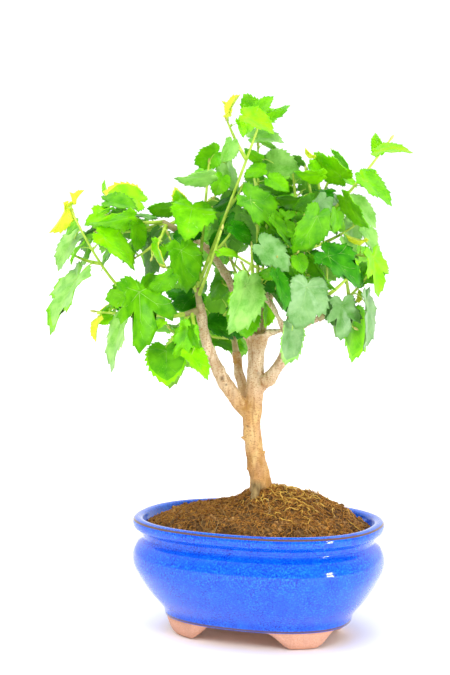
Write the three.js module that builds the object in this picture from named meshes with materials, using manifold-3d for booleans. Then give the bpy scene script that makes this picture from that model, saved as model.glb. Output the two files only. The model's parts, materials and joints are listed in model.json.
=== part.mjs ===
// A young mulberry trained as a bonsai, standing in its oval glazed pot.
// Millimetres, +Z up. Each limb is one tapering solid, and each mass of foliage is one solid of
// twigs, leaf stalks and lobed leaves that grow by a seeded rule from the tip of its limb.
import * as THREE from "three";
import { mergeVertices } from "three/addons/utils/BufferGeometryUtils.js";
import Module from "manifold-3d";

const wasm = await Module();
wasm.setup();

// Driving dimensions
const GAP = 0.35; // clearance between neighbouring pieces

const POT_HALF_LENGTH = 77.7;
const POT_HALF_WIDTH = 59;
const POT_HEIGHT = 72;
const POT_TURN = THREE.MathUtils.degToRad(-22); // the pot's long axis against +X
const POT_SQUARENESS = 2.3; // exponent of the oval, 2 is an ellipse
const POT_SIDES = 36;
const POT_OVALNESS_FROM = 45; // inside this half length the oval keeps its proportions
const LIP_WIDTH = 6.5;
const WALL = 5.5;
const FLOOR_TOP = 17;
const BODY_FOOT = 11; // height of the glazed body's lower edge above the ground
const BODY_FOOT_INSET = 19.5;
const FOOT_INSET = 23;
const FOOT_DEPTH = 11;
const FOOT_ARCH_LONG = 50; // arch between two feet on a long side, at the ground
const FOOT_ARCH_SHORT = 36;
const FOOT_ARCH_HEIGHT = BODY_FOOT - 1.2;
const ARCH_FLAT = 0.3; // flat top of an arch against its width at the ground
const ARCH_LOWER_PULL = 0.72; // how far out the two handles of an arch's curve lie
const ARCH_UPPER_PULL = 0.62;
const ARCH_SEGMENTS = 5;
const FOOT_LAP = 1; // how far the feet run up into the body
const DRAIN_RADIUS = 5;
const DRAIN_SPACING = 40;
const DRAIN_SIDES = 16;

const SOIL_EDGE = 67; // height of the soil against the wall
const SOIL_RINGS = 8;
const SOIL_FADE = 0.2; // share of the way to the wall over which the soil falls to its edge
// Rises of the soil as [height, spread, x, y]: the mound, the collar of roots, a heap at the right
const SOIL_RISES = [[15, 58, 2.5, 0], [9, 14, 3, 1], [7.5, 21, 31, 1]];

const TRUNK_FOOT = 78; // height of the flat cut, well inside the mound
const TRUNK_SIDES = 12;
const TRUNK_STEPS = 14;
const FLARE = 3.4; // how far the root flare stands out of the trunk
const FLARE_REACH = 0.16; // share of the trunk's height
const FLARE_ROOTS = 5;
const FLARE_RIDGES = 0.4; // share of the flare that stands out as separate roots
const LIMB_SIDES = 8;
const LIMB_STEPS = 6;

const TWIG_SIDES = 3;
const TWIG_STEP = 16; // length of one straight piece of a twig
const STEM_RADIUS = 2.2;
const STEM_OFF_END = 1.6; // distance of a side stem from its limb's end, in end radii
const FIRST_SHOOT_AT = 0.95; // share of the stem where the first leading shoot leaves it
const SHOOTS_SPREAD = 0.75; // share of the stem that the leading shoots are spread over
const TWIG_RADIUS = 1.5;
const TWIG_TIP_RADIUS = 1;
const SIDE_TWIG_EVERY = 34; // length of shoot that bears one side twig
const SIDE_TWIG_LENGTH = 24;
const SIDE_TWIG_RANGE = [0.7, 1.3];
const SIDE_TWIG_START = 0.7; // the first one's place, in spacings
const SIDE_TWIG_BOW = 0.1;
const BRANCHING = 0.85; // how far a stalk or side twig stands off its shoot
const BRANCHING_ON = 0.5; // how far it leans on along the shoot
const BRANCHING_UP = 0.25;
const NEARLY_PLUMB = 0.1; // a shoot that leans less than this has no level side of its own
const SPIRAL = THREE.MathUtils.degToRad(137.5);
const INTERNODE = 12.5;
const NODE_SET_BACK = 0.15; // how far a node lies before the end of its internode

const STALK_RADIUS = 0.5;
const STALK_TIP_RADIUS = 0.18;
const STALK_SHARE = 0.42; // length of a stalk against its leaf's size
const STALK_SINK = 0.07; // how far the stalk runs into the blade
const LEAF_THICKNESS = 0.5;
const LEAF_TIP_SHARE = 0.75; // size of a shoot's last leaf against its first
const LEAF_SIZE_RANGE = [0.85, 1.15];
const LEAF_MARGIN = 0.5; // clearance kept round a leaf
const LEAF_TRIES = 8;
const TRY_TURN = 0.85;
const TRY_SHRINK = 0.95;
const FACING_OUT = 0.42;
const FACING_FRONT = 0.38;
const FACING_UP = 0.6;
const LEAF_TILT = 1.1;
const ALONG_STALK = 0.6; // what a blade's tip follows: its stalk, the way out, and the way down
const REACHING_OUT = 0.5;
const HANGING = 0.75;
const CROWN_MIDDLE = [-12, 0];

// Trunk: places up its middle line, and the radius at each
const TRUNK_LINE = [
  [2.6, 0, TRUNK_FOOT],
  [2.0, 0, 92],
  [-1.1, 0, 108],
  [-3.6, 0, 124],
  [-3.4, 0, 138],
  [-1.8, 0, 152],
  [-1.2, 0, 169],
  [-0.6, 0, 185],
];
const TRUNK_RADII = [7.4, 6.8, 5.8, 5.3, 6.0, 5.1, 4.9, 7.2];

// Limbs: middle line, radius at each place, and the neighbours that they are cut clear of
const LIMBS = {
  left_bough: {
    line: [[-3, 0, 134], [-12, -3, 143], [-22, -7, 159], [-31, -11, 180], [-35.2, -14, 204]],
    radii: [4.6, 4.4, 3.7, 3.2, 2.7],
    clears: ["trunk"],
  },
  rear_left_bough: {
    line: [[-3, 2, 141], [-9.5, 7.5, 152], [-13.2, 14, 172]],
    radii: [3.4, 3.2, 2.8],
    clears: ["trunk", "left_bough"],
  },
  right_bough: {
    line: [[-1, -1, 150], [8.3, -5, 160], [14, -8, 169], [17.2, -10, 178], [17.8, -10, 187]],
    radii: [4.2, 3.9, 3.4, 3.0, 2.8],
    clears: ["trunk"],
  },
  right_upright: {
    line: [[17.9, -10, 187.4], [21, -8, 203], [26.5, -5, 219], [26, -5, 231]],
    radii: [2.7, 2.3, 2.1, 1.8],
    clears: ["right_bough"],
  },
  right_stub: {
    line: [[17.4, -10, 183], [12, -15, 195], [3.7, -20, 209]],
    radii: [2.1, 1.9, 1.8],
    clears: ["right_bough", "right_upright"],
  },
  right_arm: {
    line: [[17.4, -10, 182], [27, -12, 190], [37, -12, 195]],
    radii: [2.1, 1.8, 1.5],
    clears: ["right_bough", "right_upright", "right_stub"],
  },
  upper_left_limb: {
    line: [[-3, 2, 179], [-12, 4, 205], [-20.6, 5, 222], [-31.5, 8, 236], [-50, 10, 247]],
    radii: [3.2, 2.8, 2.4, 2.0, 1.6],
    clears: ["trunk"],
  },
  back_limb: {
    line: [[1, 2, 179], [5, 16, 197], [12, 34, 214]],
    radii: [3.2, 2.6, 2.0],
    clears: ["trunk", "upper_left_limb"],
  },
};

// Masses of foliage. side is the way a stem leaves the flank of a limb's head, or null from its end.
// Each leading shoot is [azimuth, climb, length, bow]: azimuth 0 is +X and 90 is +Y, in degrees, and
// a shoot with a positive bow sags before it turns up. Side twigs and leaves follow by rule.
const MASSES = [
  {
    name: "top_leaves", limb: "left_bough", side: null, stem: 9, leaf: 30, seed: 810,
    shoots: [[8, 69, 112, 0.03], [50, 82, 76, 0.03], [213, 60, 40, 0.05], [-62, 54, 54, 0.05]],
  },
  {
    name: "left_leaves", limb: "left_bough", side: [-0.8, -0.5, -0.2], stem: 8, leaf: 33, seed: 121,
    shoots: [[172, 34, 78, 0.3], [189, 2, 54, 0.05], [215, -50, 34, 0], [278, -30, 32, 0]],
  },
  {
    name: "upper_left_leaves", limb: "upper_left_limb", side: null, stem: 9, leaf: 29, seed: 509,
    shoots: [
      [205, 6, 34, 0.1], [179, -8, 40, 0.1], [254, -34, 34, 0], [20, 30, 32, 0.05], [119, 0, 44, 0.1],
    ],
  },
  {
    name: "rear_left_leaves", limb: "rear_left_bough", side: null, stem: 9, leaf: 31, seed: 556,
    shoots: [[155, 9, 50, 0.1], [121, 30, 60, 0.1], [86, 21, 55, 0.1]],
  },
  {
    name: "centre_leaves", limb: "trunk", side: null, stem: 10, leaf: 30, seed: 717,
    shoots: [[89, 86, 102, 0.02], [252, 25, 44, 0.1], [281, 67, 72, 0.05], [122, 53, 66, 0.05]],
  },
  {
    name: "front_leaves", limb: "right_stub", side: null, stem: 9, leaf: 31, seed: 648,
    shoots: [[287, 25, 36, 0.1], [324, -6, 40, 0], [249, 26, 34, 0.1], [325, 56, 52, 0.05]],
  },
  {
    name: "upper_right_leaves", limb: "right_upright", side: null, stem: 9, leaf: 29, seed: 71,
    shoots: [[0, 49, 80, 0.08], [33, 63, 54, 0.05], [103, 66, 54, 0.05], [21, 23, 40, 0.1]],
  },
  {
    name: "lower_right_leaves", limb: "right_arm", side: null, stem: 8, leaf: 31, seed: 37,
    shoots: [[24, 42, 34, 0.1], [320, -24, 26, 0], [60, -10, 28, 0], [268, 47, 42, 0.05]],
  },
  {
    name: "back_leaves", limb: "back_limb", side: null, stem: 10, leaf: 31, seed: 648,
    shoots: [
      [74, 18, 52, 0.1], [28, 0, 46, 0.1], [120, 67, 58, 0.05], [133, 20, 60, 0.1], [25, 50, 52, 0.05],
    ],
  },
];

// The lobed outline: reach from the stalk at each angle off the tip, as a share of the leaf's size
const LEAF_ANGLES = [0, 26, 54, 106];
const HEART_REACH = [1, 0.7, 0.62, 0.52];
const LOBED_REACH = [1, 0.42, 0.86, 0.56];
const LEAF_SIDES = 2 * LEAF_ANGLES.length - 1;
const LEAF_MIDDLE = 0.3; // where the faces of a blade meet, along it
const LEAF_FOLD = 0.16;
const LEAF_DROOP = 0.16;

const COLOURS = {
  pot: [0x1c5fe6, 0.15],
  soil: [0x6a4526, 0.95],
  wood: [0xc09a6c, 0.75],
  leaves: [0x55b81e, 0.5],
};

// Solids

// A closed geometry as a solid that can be joined or cut.
function solidOf(geometry) {
  const bare = new THREE.BufferGeometry();
  bare.setAttribute("position", geometry.getAttribute("position").clone());
  bare.setIndex(geometry.index);
  const merged = mergeVertices(bare, 1e-4);
  const corners = merged.index.array;
  const kept = [];
  for (let i = 0; i < corners.length; i += 3) {
    const [a, b, c] = [corners[i], corners[i + 1], corners[i + 2]];
    if (a !== b && b !== c && a !== c) kept.push(a, b, c);
  }
  const mesh = new wasm.Mesh({
    numProp: 3,
    vertProperties: merged.getAttribute("position").array,
    triVerts: Uint32Array.from(kept),
  });
  return new wasm.Manifold(mesh);
}

// The largest single body of a solid: scraps that a cut leaves loose are dropped.
function mainBody(solid) {
  return solid.decompose().sort((a, b) => b.volume() - a.volume())[0];
}

function geometryOf(solid) {
  const mesh = solid.getMesh();
  const geometry = new THREE.BufferGeometry();
  geometry.setAttribute("position", new THREE.BufferAttribute(mesh.vertProperties, 3));
  geometry.setIndex(new THREE.BufferAttribute(mesh.triVerts, 1));
  geometry.computeVertexNormals();
  return geometry;
}

function piece(name, solid, finish) {
  const [color, roughness] = COLOURS[finish];
  const material = new THREE.MeshStandardMaterial({ color, roughness, metalness: 0 });
  const mesh = new THREE.Mesh(geometryOf(solid), material);
  mesh.name = name;
  return mesh;
}

// Moves each vertex of a geometry by a function of its place.
function reshape(geometry, move) {
  const position = geometry.getAttribute("position");
  const place = new THREE.Vector3();
  for (let i = 0; i < position.count; i++) {
    place.fromBufferAttribute(position, i);
    move(place);
    position.setXYZ(i, place.x, place.y, place.z);
  }
  return geometry;
}

// Pot and soil

// The place on the oval of a given half length, in the direction of an angle.
function ovalPlace(halfLength, angle) {
  const slimness = Math.min(1, halfLength / POT_OVALNESS_FROM);
  const halfWidth = halfLength - (POT_HALF_LENGTH - POT_HALF_WIDTH) * slimness;
  const [c, s] = [Math.cos(angle), Math.sin(angle)];
  const power = 2 / POT_SQUARENESS;
  const x = Math.sign(c) * halfLength * Math.abs(c) ** power;
  const y = Math.sign(s) * halfWidth * Math.abs(s) ** power;
  return [x, y];
}

// A profile of [half length, height] turned round the oval instead of a circle.
function ovalTurned(profile) {
  const points = profile.map(([r, z]) => new THREE.Vector2(r, z));
  const turned = new THREE.LatheGeometry(points, POT_SIDES);
  return reshape(turned, (p) => {
    const [x, y] = ovalPlace(Math.hypot(p.x, p.z), Math.atan2(-p.z, p.x));
    p.set(x, y, p.y);
  });
}

// Heights and insets of the body's outer wall, from its lower edge to the lip.
const OUTER_WALL = [
  [BODY_FOOT_INSET, BODY_FOOT],
  [BODY_FOOT_INSET - 1, 15],
  [10.5, 25],
  [4, 35],
  [0.2, 43],
  [0, 50],
  [2.8, 56],
  [6, 59],
  [5.4, 62.5],
  [1, 65.5],
  [0, 68.5],
  [0.8, POT_HEIGHT - 0.8],
  [2.2, POT_HEIGHT],
];
const INNER_WALL = [
  [LIP_WIDTH - 1.2, POT_HEIGHT],
  [LIP_WIDTH, POT_HEIGHT - 1.2],
  [6 + WALL, 58],
  [WALL, 47],
  [10.5 + WALL, 27],
  [BODY_FOOT_INSET + WALL, FLOOR_TOP],
];

// The cutter of one arch, through both long or both short sides of the skirt.
function footArch(width, length) {
  const half = width / 2;
  const [lower, upper, flat] = [ARCH_LOWER_PULL, ARCH_UPPER_PULL, ARCH_FLAT].map((share) => share * half);
  const [top, below] = [FOOT_ARCH_HEIGHT, -FOOT_LAP];
  const arch = new THREE.Shape();
  arch.moveTo(-half, below);
  arch.lineTo(half, below);
  arch.bezierCurveTo(lower, -below, upper, top, flat, top);
  arch.lineTo(-flat, top);
  arch.bezierCurveTo(-upper, top, -lower, -below, -half, below);
  const options = { depth: length, bevelEnabled: false, curveSegments: ARCH_SEGMENTS };
  const cutter = new THREE.ExtrudeGeometry(arch, options);
  return cutter.translate(0, 0, -length / 2).rotateX(Math.PI / 2);
}

// Four feet: a skirt under the body, hollow inside, with an arch cut through each side.
function potFeet() {
  const reach = POT_HALF_LENGTH - FOOT_INSET;
  const inside = reach - FOOT_DEPTH;
  const waist = POT_HALF_LENGTH - BODY_FOOT_INSET - FOOT_LAP / 2;
  const [top, roof, below] = [BODY_FOOT + FOOT_LAP, BODY_FOOT - FOOT_LAP, -FOOT_LAP];
  const skirt = ovalTurned([[0, 0], [reach, 0], [waist, top], [0, top]]);
  const hollow = ovalTurned([[0, below], [inside, below], [inside, roof], [0, roof]]);
  const far = 3 * POT_HALF_LENGTH;
  return solidOf(skirt)
    .subtract(solidOf(hollow))
    .subtract(solidOf(footArch(FOOT_ARCH_LONG, far)))
    .subtract(solidOf(footArch(FOOT_ARCH_SHORT, far).rotateZ(Math.PI / 2)));
}

function makePot() {
  const outer = OUTER_WALL.map(([inset, z]) => [POT_HALF_LENGTH - inset, z]);
  const inner = INNER_WALL.map(([inset, z]) => [POT_HALF_LENGTH - inset, z]);
  const shell = ovalTurned([[0, BODY_FOOT], ...outer, ...inner, [0, FLOOR_TOP]]);
  let pot = solidOf(shell).add(potFeet());
  for (const x of [-DRAIN_SPACING / 2, DRAIN_SPACING / 2]) {
    const drain = new THREE.CylinderGeometry(DRAIN_RADIUS, DRAIN_RADIUS, 2 * FLOOR_TOP, DRAIN_SIDES);
    pot = pot.subtract(solidOf(drain.rotateX(Math.PI / 2).translate(x, 0, FLOOR_TOP)));
  }
  return pot;
}

// Height of the soil at a place of the turned pot's frame, from the share of the way to the wall.
function soilHeight(x, y, share) {
  const [c, s] = [Math.cos(POT_TURN), Math.sin(POT_TURN)];
  const [right, back] = [x * c - y * s, x * s + y * c];
  let rise = 0;
  for (const [height, spread, atX, atY] of SOIL_RISES) {
    rise += height * Math.exp(-((right - atX) ** 2 + (back - atY) ** 2) / spread ** 2);
  }
  return SOIL_EDGE + rise * Math.min(1, (1 - share) / SOIL_FADE);
}

// How far the inner wall lies in from the pot's end, at the level of the soil's edge.
function wallInset() {
  const below = INNER_WALL.findIndex(([, z]) => z < SOIL_EDGE);
  const [[upperInset, upper], [lowerInset, lower]] = INNER_WALL.slice(below - 1, below + 1);
  return THREE.MathUtils.mapLinear(SOIL_EDGE, upper, lower, upperInset, lowerInset);
}

function makeSoil() {
  const wall = INNER_WALL.filter(([, z]) => z < SOIL_EDGE);
  const sides = [[wallInset(), SOIL_EDGE], ...wall].map(([inset, z]) => [POT_HALF_LENGTH - inset - GAP, z]);
  const [rim] = sides[0];
  const [floor] = sides.pop();
  const bottom = FLOOR_TOP + GAP;
  const rings = Array.from({ length: SOIL_RINGS }, (_, i) => [rim * (1 - (i + 1) / SOIL_RINGS), SOIL_EDGE]);
  const soil = ovalTurned([[0, bottom], [floor, bottom], ...sides.reverse(), ...rings]);
  return reshape(soil, (p) => {
    if (p.z < SOIL_EDGE - 0.01) return;
    const [x, y] = ovalPlace(rim, Math.atan2(p.y, p.x));
    p.z = soilHeight(p.x, p.y, Math.hypot(p.x, p.y) / Math.hypot(x, y));
  });
}

// Trunk and limbs

function lineOf(places) {
  return new THREE.CatmullRomCurve3(places.map((p) => new THREE.Vector3(...p)));
}

// A value read between the evenly spaced entries of a list.
function between(list, share) {
  const at = share * (list.length - 1);
  const i = Math.min(list.length - 2, Math.floor(at));
  return THREE.MathUtils.lerp(list[i], list[i + 1], at - i);
}

// A cylinder laid along a curve, with its radius given by the share of the way and the angle.
function limbGeometry(curve, radiusAt, sides, steps) {
  const frames = curve.computeFrenetFrames(steps);
  const cylinder = new THREE.CylinderGeometry(1, 1, 1, sides, steps);
  const middle = new THREE.Vector3();
  return reshape(cylinder, (p) => {
    const step = Math.round((0.5 - p.y) * steps);
    const share = step / steps;
    const off = Math.hypot(p.x, p.z);
    const angle = Math.atan2(p.z, p.x);
    const radius = off < 1e-6 ? 0 : radiusAt(share, angle);
    curve.getPointAt(share, middle);
    p.copy(middle)
      .addScaledVector(frames.normals[step], radius * Math.cos(angle))
      .addScaledVector(frames.binormals[step], radius * Math.sin(angle));
  });
}

function trunkSolid(extra) {
  const line = TRUNK_LINE.map((p) => [...p]);
  line[0][2] -= extra;
  const radius = (share, angle) => {
    const foot = Math.max(0, 1 - share / FLARE_REACH) ** 2;
    const roots = 1 - FLARE_RIDGES + FLARE_RIDGES * Math.cos(FLARE_ROOTS * angle);
    return between(TRUNK_RADII, share) + FLARE * foot * roots + extra;
  };
  const trunk = limbGeometry(lineOf(line), radius, TRUNK_SIDES, TRUNK_STEPS);
  const foot = TRUNK_FOOT - extra;
  return solidOf(reshape(trunk, (p) => p.setZ(Math.max(p.z, foot))));
}

function limbSolid(name, extra) {
  if (name === "trunk") return trunkSolid(extra);
  const { line, radii } = LIMBS[name];
  const radius = (share) => between(radii, share) + extra;
  return solidOf(limbGeometry(lineOf(line), radius, LIMB_SIDES, LIMB_STEPS));
}

function makeLimb(name) {
  const cut = (limb, neighbour) => limb.subtract(limbSolid(neighbour, GAP));
  return mainBody(LIMBS[name].clears.reduce(cut, limbSolid(name, 0)));
}

// Growth of a mass

function seeded(seed) {
  let state = seed;
  return () => {
    state = (state * 1664525 + 1013904223) % 4294967296;
    return state / 4294967296;
  };
}

function heading(azimuth, climb) {
  const [a, c] = [azimuth, climb].map(THREE.MathUtils.degToRad);
  return new THREE.Vector3(Math.cos(a) * Math.cos(c), Math.sin(a) * Math.cos(c), Math.sin(c));
}

// Where a mass leaves its limb: a point GAP clear of the limb, and the way the stem goes on.
function stemRoot(mass) {
  const { line, radii } = LIMBS[mass.limb] ?? { line: TRUNK_LINE, radii: TRUNK_RADII };
  const curve = lineOf(line);
  const ahead = curve.getTangentAt(1);
  if (!mass.side) return [curve.getPointAt(1).addScaledVector(ahead, GAP), ahead];
  const side = new THREE.Vector3(...mass.side);
  side.addScaledVector(ahead, -side.dot(ahead)).normalize();
  const share = 1 - (STEM_OFF_END * radii[radii.length - 1]) / curve.getLength();
  return [curve.getPointAt(share).addScaledVector(side, between(radii, share) + GAP), side];
}

function twigSolid(twig) {
  const radius = (share) => THREE.MathUtils.lerp(twig.from, twig.to, share);
  return solidOf(limbGeometry(twig.curve, radius, TWIG_SIDES, twig.steps));
}

// A shoot from one place along a heading, with the bow of its middle.
function shootFrom(start, way, length, bow, parent) {
  const end = start.clone().addScaledVector(way, length);
  const bend = start.clone().lerp(end, 0.5);
  bend.z -= bow * length;
  const curve = new THREE.QuadraticBezierCurve3(start, bend, end);
  const steps = Math.ceil(length / TWIG_STEP);
  return { curve, length, parent, steps, from: TWIG_RADIUS, to: TWIG_TIP_RADIUS };
}

// A place on a twig's middle line, which runs straight from each of its steps to the next.
function onTwig(twig, share) {
  const at = share * twig.steps;
  const step = Math.min(twig.steps - 1, Math.floor(at));
  const [from, to] = [step, step + 1].map((i) => twig.curve.getPointAt(i / twig.steps));
  return from.lerp(to, at - step);
}

// The way that a stalk or side twig leaves its shoot, turned round it by an angle.
function offShoot(shoot, share, turn) {
  const along = shoot.curve.getTangentAt(share);
  const across = new THREE.Vector3(-along.y, along.x, 0);
  if (across.length() < NEARLY_PLUMB) across.set(1, 0, 0);
  across.normalize();
  const over = along.clone().cross(across);
  const way = across.multiplyScalar(BRANCHING * Math.cos(turn));
  way.addScaledVector(over, BRANCHING * Math.sin(turn)).addScaledVector(along, BRANCHING_ON);
  way.z += BRANCHING_UP;
  return way.normalize();
}

// The stem of a mass, its leading shoots, and the side twigs that long shoots bear in a spiral.
function growTwigs(mass, chance) {
  const [root, ahead] = stemRoot(mass);
  const tip = root.clone().addScaledVector(ahead, mass.stem);
  const stem = { curve: new THREE.LineCurve3(root, tip), from: STEM_RADIUS, to: STEM_RADIUS, steps: 1 };
  const shoots = mass.shoots.map(([azimuth, climb, length, bow], i) => {
    const start = root.clone().lerp(tip, FIRST_SHOOT_AT - (SHOOTS_SPREAD * i) / mass.shoots.length);
    return shootFrom(start, heading(azimuth, climb), length, bow, stem);
  });
  const sides = shoots.flatMap((shoot) => {
    const count = Math.floor(shoot.length / SIDE_TWIG_EVERY);
    const first = chance() * 2 * Math.PI;
    return Array.from({ length: count }, (_, i) => {
      const share = (i + SIDE_TWIG_START) / (count + SIDE_TWIG_START);
      const way = offShoot(shoot, share, first + i * SPIRAL);
      const length = SIDE_TWIG_LENGTH * THREE.MathUtils.lerp(...SIDE_TWIG_RANGE, chance());
      return shootFrom(onTwig(shoot, share), way, length, SIDE_TWIG_BOW, shoot);
    });
  });
  return [stem, ...shoots, ...sides];
}

// A corner of a leaf's outline, in its own plane and counted round from the tip: [along, aside].
function leafCorner(lobing, k) {
  const i = Math.min(k, LEAF_SIDES - k);
  const reach = THREE.MathUtils.lerp(HEART_REACH[i], LOBED_REACH[i], lobing);
  const angle = THREE.MathUtils.degToRad(LEAF_ANGLES[i]);
  return [reach * Math.cos(angle), reach * Math.sin(angle) * (k === i ? 1 : -1)];
}

// One try at a leaf: a stalk off the shoot, and a blade that faces out to the light and hangs.
function leafAt(shoot, share, turn, size, lobing, tilt) {
  const node = onTwig(shoot, share);
  const stalk = offShoot(shoot, share, turn);
  const joint = node.clone().addScaledVector(stalk, STALK_SHARE * size + TWIG_RADIUS);
  const away = new THREE.Vector3(joint.x - CROWN_MIDDLE[0], joint.y - CROWN_MIDDLE[1], 0).normalize();
  const normal = away.clone().multiplyScalar(FACING_OUT);
  normal.x += tilt[0];
  normal.y += tilt[1] - FACING_FRONT;
  normal.z += FACING_UP;
  normal.normalize();
  const axis = stalk.clone().multiplyScalar(ALONG_STALK).addScaledVector(away, REACHING_OUT);
  axis.z -= HANGING;
  axis.addScaledVector(normal, -axis.dot(normal)).normalize();
  return { node, joint, axis, normal, size, lobing, side: normal.clone().cross(axis) };
}

// A leaf's blade, folded along its middle and drooping to its tip, with a margin all round it.
function bladeSolid(leaf, margin) {
  const size = leaf.size + margin;
  const blade = new THREE.CylinderGeometry(1, 1, LEAF_THICKNESS + 2 * margin, LEAF_SIDES, 1);
  reshape(blade, (p) => {
    const turn = Math.atan2(p.x, p.z) / (2 * Math.PI);
    const corner = Math.round(LEAF_SIDES * (turn + 1)) % LEAF_SIDES;
    const inMiddle = Math.hypot(p.x, p.z) < 0.5;
    const [along, aside] = inMiddle ? [LEAF_MIDDLE, 0] : leafCorner(leaf.lobing, corner);
    const ahead = Math.max(0, along);
    const fold = along > 0 ? LEAF_FOLD * Math.abs(aside) : 0;
    const above = p.y + size * (fold - LEAF_DROOP * ahead ** 2);
    p.copy(leaf.joint)
      .addScaledVector(leaf.axis, size * along)
      .addScaledVector(leaf.side, size * aside)
      .addScaledVector(leaf.normal, above);
  });
  return solidOf(blade);
}

// The stalk runs straight from the middle of its shoot, and thins out well inside the blade.
function stalkSolid(leaf, margin) {
  const end = leaf.joint.clone().addScaledVector(leaf.axis, STALK_SINK * leaf.size);
  const curve = new THREE.LineCurve3(leaf.node, end);
  const radius = (share) => THREE.MathUtils.lerp(STALK_RADIUS, STALK_TIP_RADIUS, share) + margin;
  return solidOf(limbGeometry(curve, radius, TWIG_SIDES, 1));
}

function touches(solid, others) {
  const box = solid.boundingBox();
  return others.some(({ solid: other, box: otherBox }) => {
    const apart = [0, 1, 2].some((i) => box.min[i] > otherBox.max[i] || box.max[i] < otherBox.min[i]);
    if (apart) return false;
    const common = solid.intersect(other);
    const clear = common.isEmpty();
    common.delete();
    return !clear;
  });
}

function standing(solid, owner) {
  return { solid, box: solid.boundingBox(), owner };
}

// Grows the leaves of one shoot in a spiral. A leaf that would touch anything that already stands
// is turned and made smaller, and in the end skipped.
function growLeaves(mass, shoot, chance, crowd) {
  const count = Math.floor(shoot.length / INTERNODE);
  const first = chance() * 2 * Math.PI;
  const solids = [];
  for (let i = 1; i <= count; i++) {
    const share = (i - NODE_SET_BACK) / count;
    const full = mass.leaf * THREE.MathUtils.lerp(1, LEAF_TIP_SHARE, share);
    const size = full * THREE.MathUtils.lerp(...LEAF_SIZE_RANGE, chance());
    const lobing = chance();
    const tilt = [LEAF_TILT * (chance() - 0.5), LEAF_TILT * (chance() - 0.5)];
    const others = crowd.filter(({ owner }) => owner !== shoot && owner !== shoot.parent);
    for (let attempt = 0; attempt < LEAF_TRIES; attempt++) {
      const turn = first + i * SPIRAL + attempt * TRY_TURN;
      const leaf = leafAt(shoot, share, turn, size * TRY_SHRINK ** attempt, lobing, tilt);
      if (touches(bladeSolid(leaf, LEAF_MARGIN), crowd)) continue;
      if (touches(stalkSolid(leaf, LEAF_MARGIN), others)) continue;
      const parts = [bladeSolid(leaf, 0), stalkSolid(leaf, 0)];
      crowd.push(...parts.map((part) => standing(part, null)));
      solids.push(...parts);
      break;
    }
  }
  return solids;
}

// The twigs of one mass that have room: one that would touch anything but its own shoot and the
// other twigs on it is skipped, with the twigs that it would bear.
function roomyTwigs(mass, chance, crowd) {
  const [stem, ...others] = growTwigs(mass, chance);
  const kept = [];
  const keep = (twig) => {
    crowd.push(standing(twigSolid(twig), twig));
    kept.push(twig);
  };
  keep(stem);
  for (const twig of others) {
    const isKin = ({ owner }) => owner === twig.parent || owner?.parent === twig.parent;
    const strangers = crowd.filter((one) => !isKin(one));
    if (kept.includes(twig.parent) && !touches(twigSolid(twig), strangers)) keep(twig);
  }
  return kept;
}

// All masses of the crown: the twigs first, so that leaves keep clear of every twig and limb.
// A side twig that bears no leaf is left off.
function growCrown() {
  const crowd = ["trunk", ...Object.keys(LIMBS)].map((name) => standing(limbSolid(name, GAP), null));
  const grown = MASSES.map((mass) => {
    const chance = seeded(mass.seed);
    return { mass, chance, twigs: roomyTwigs(mass, chance, crowd) };
  });
  return grown.map(({ mass, chance, twigs: [stem, ...shoots] }) => {
    const leaves = shoots.map((shoot) => growLeaves(mass, shoot, chance, crowd));
    const borne = shoots.filter((shoot, i) => shoot.parent === stem || leaves[i].length);
    const solid = wasm.Manifold.union([stem, ...borne].map(twigSolid).concat(leaves.flat()));
    return piece(mass.name, mainBody(solid), "leaves");
  });
}

const plant = new THREE.Group();
const potGroup = new THREE.Group();
potGroup.rotation.z = POT_TURN;
potGroup.add(piece("pot", makePot(), "pot"));
plant.add(potGroup);

const soil = solidOf(makeSoil().rotateZ(POT_TURN)).subtract(trunkSolid(GAP));
plant.add(piece("soil", mainBody(soil), "soil"));
plant.add(piece("trunk", trunkSolid(0), "wood"));
for (const name of Object.keys(LIMBS)) plant.add(piece(name, makeLimb(name), "wood"));
plant.add(...growCrown());

// The origin is under the middle of the whole plant, on the ground.
const whole = new THREE.Box3().setFromObject(plant, true);
const middle = whole.getCenter(new THREE.Vector3());
plant.position.set(-middle.x, -middle.y, -whole.min.z);

const part = new THREE.Group();
part.add(plant);

export default part;
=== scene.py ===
# %% [markdown]
# # A mulberry bonsai in an oval glazed pot
# A young mulberry, trained as a bonsai, leans out of a mound of peat in a blue oval pot. The packed
# model already holds every solid at its real size, so this lesson only dresses it: glaze and clay on
# the pot, loose peat, bark with relief, and a crown of toothed, lobed leaves that grow by a seeded rule.
# Every piece is in the model's own frame, so nothing is moved or fitted afterwards.

# %% Load the frame
import json
import math

import bmesh
import bpy
import numpy as np
from mathutils import Matrix, Vector, noise
from mathutils.bvhtree import BVHTree

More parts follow.
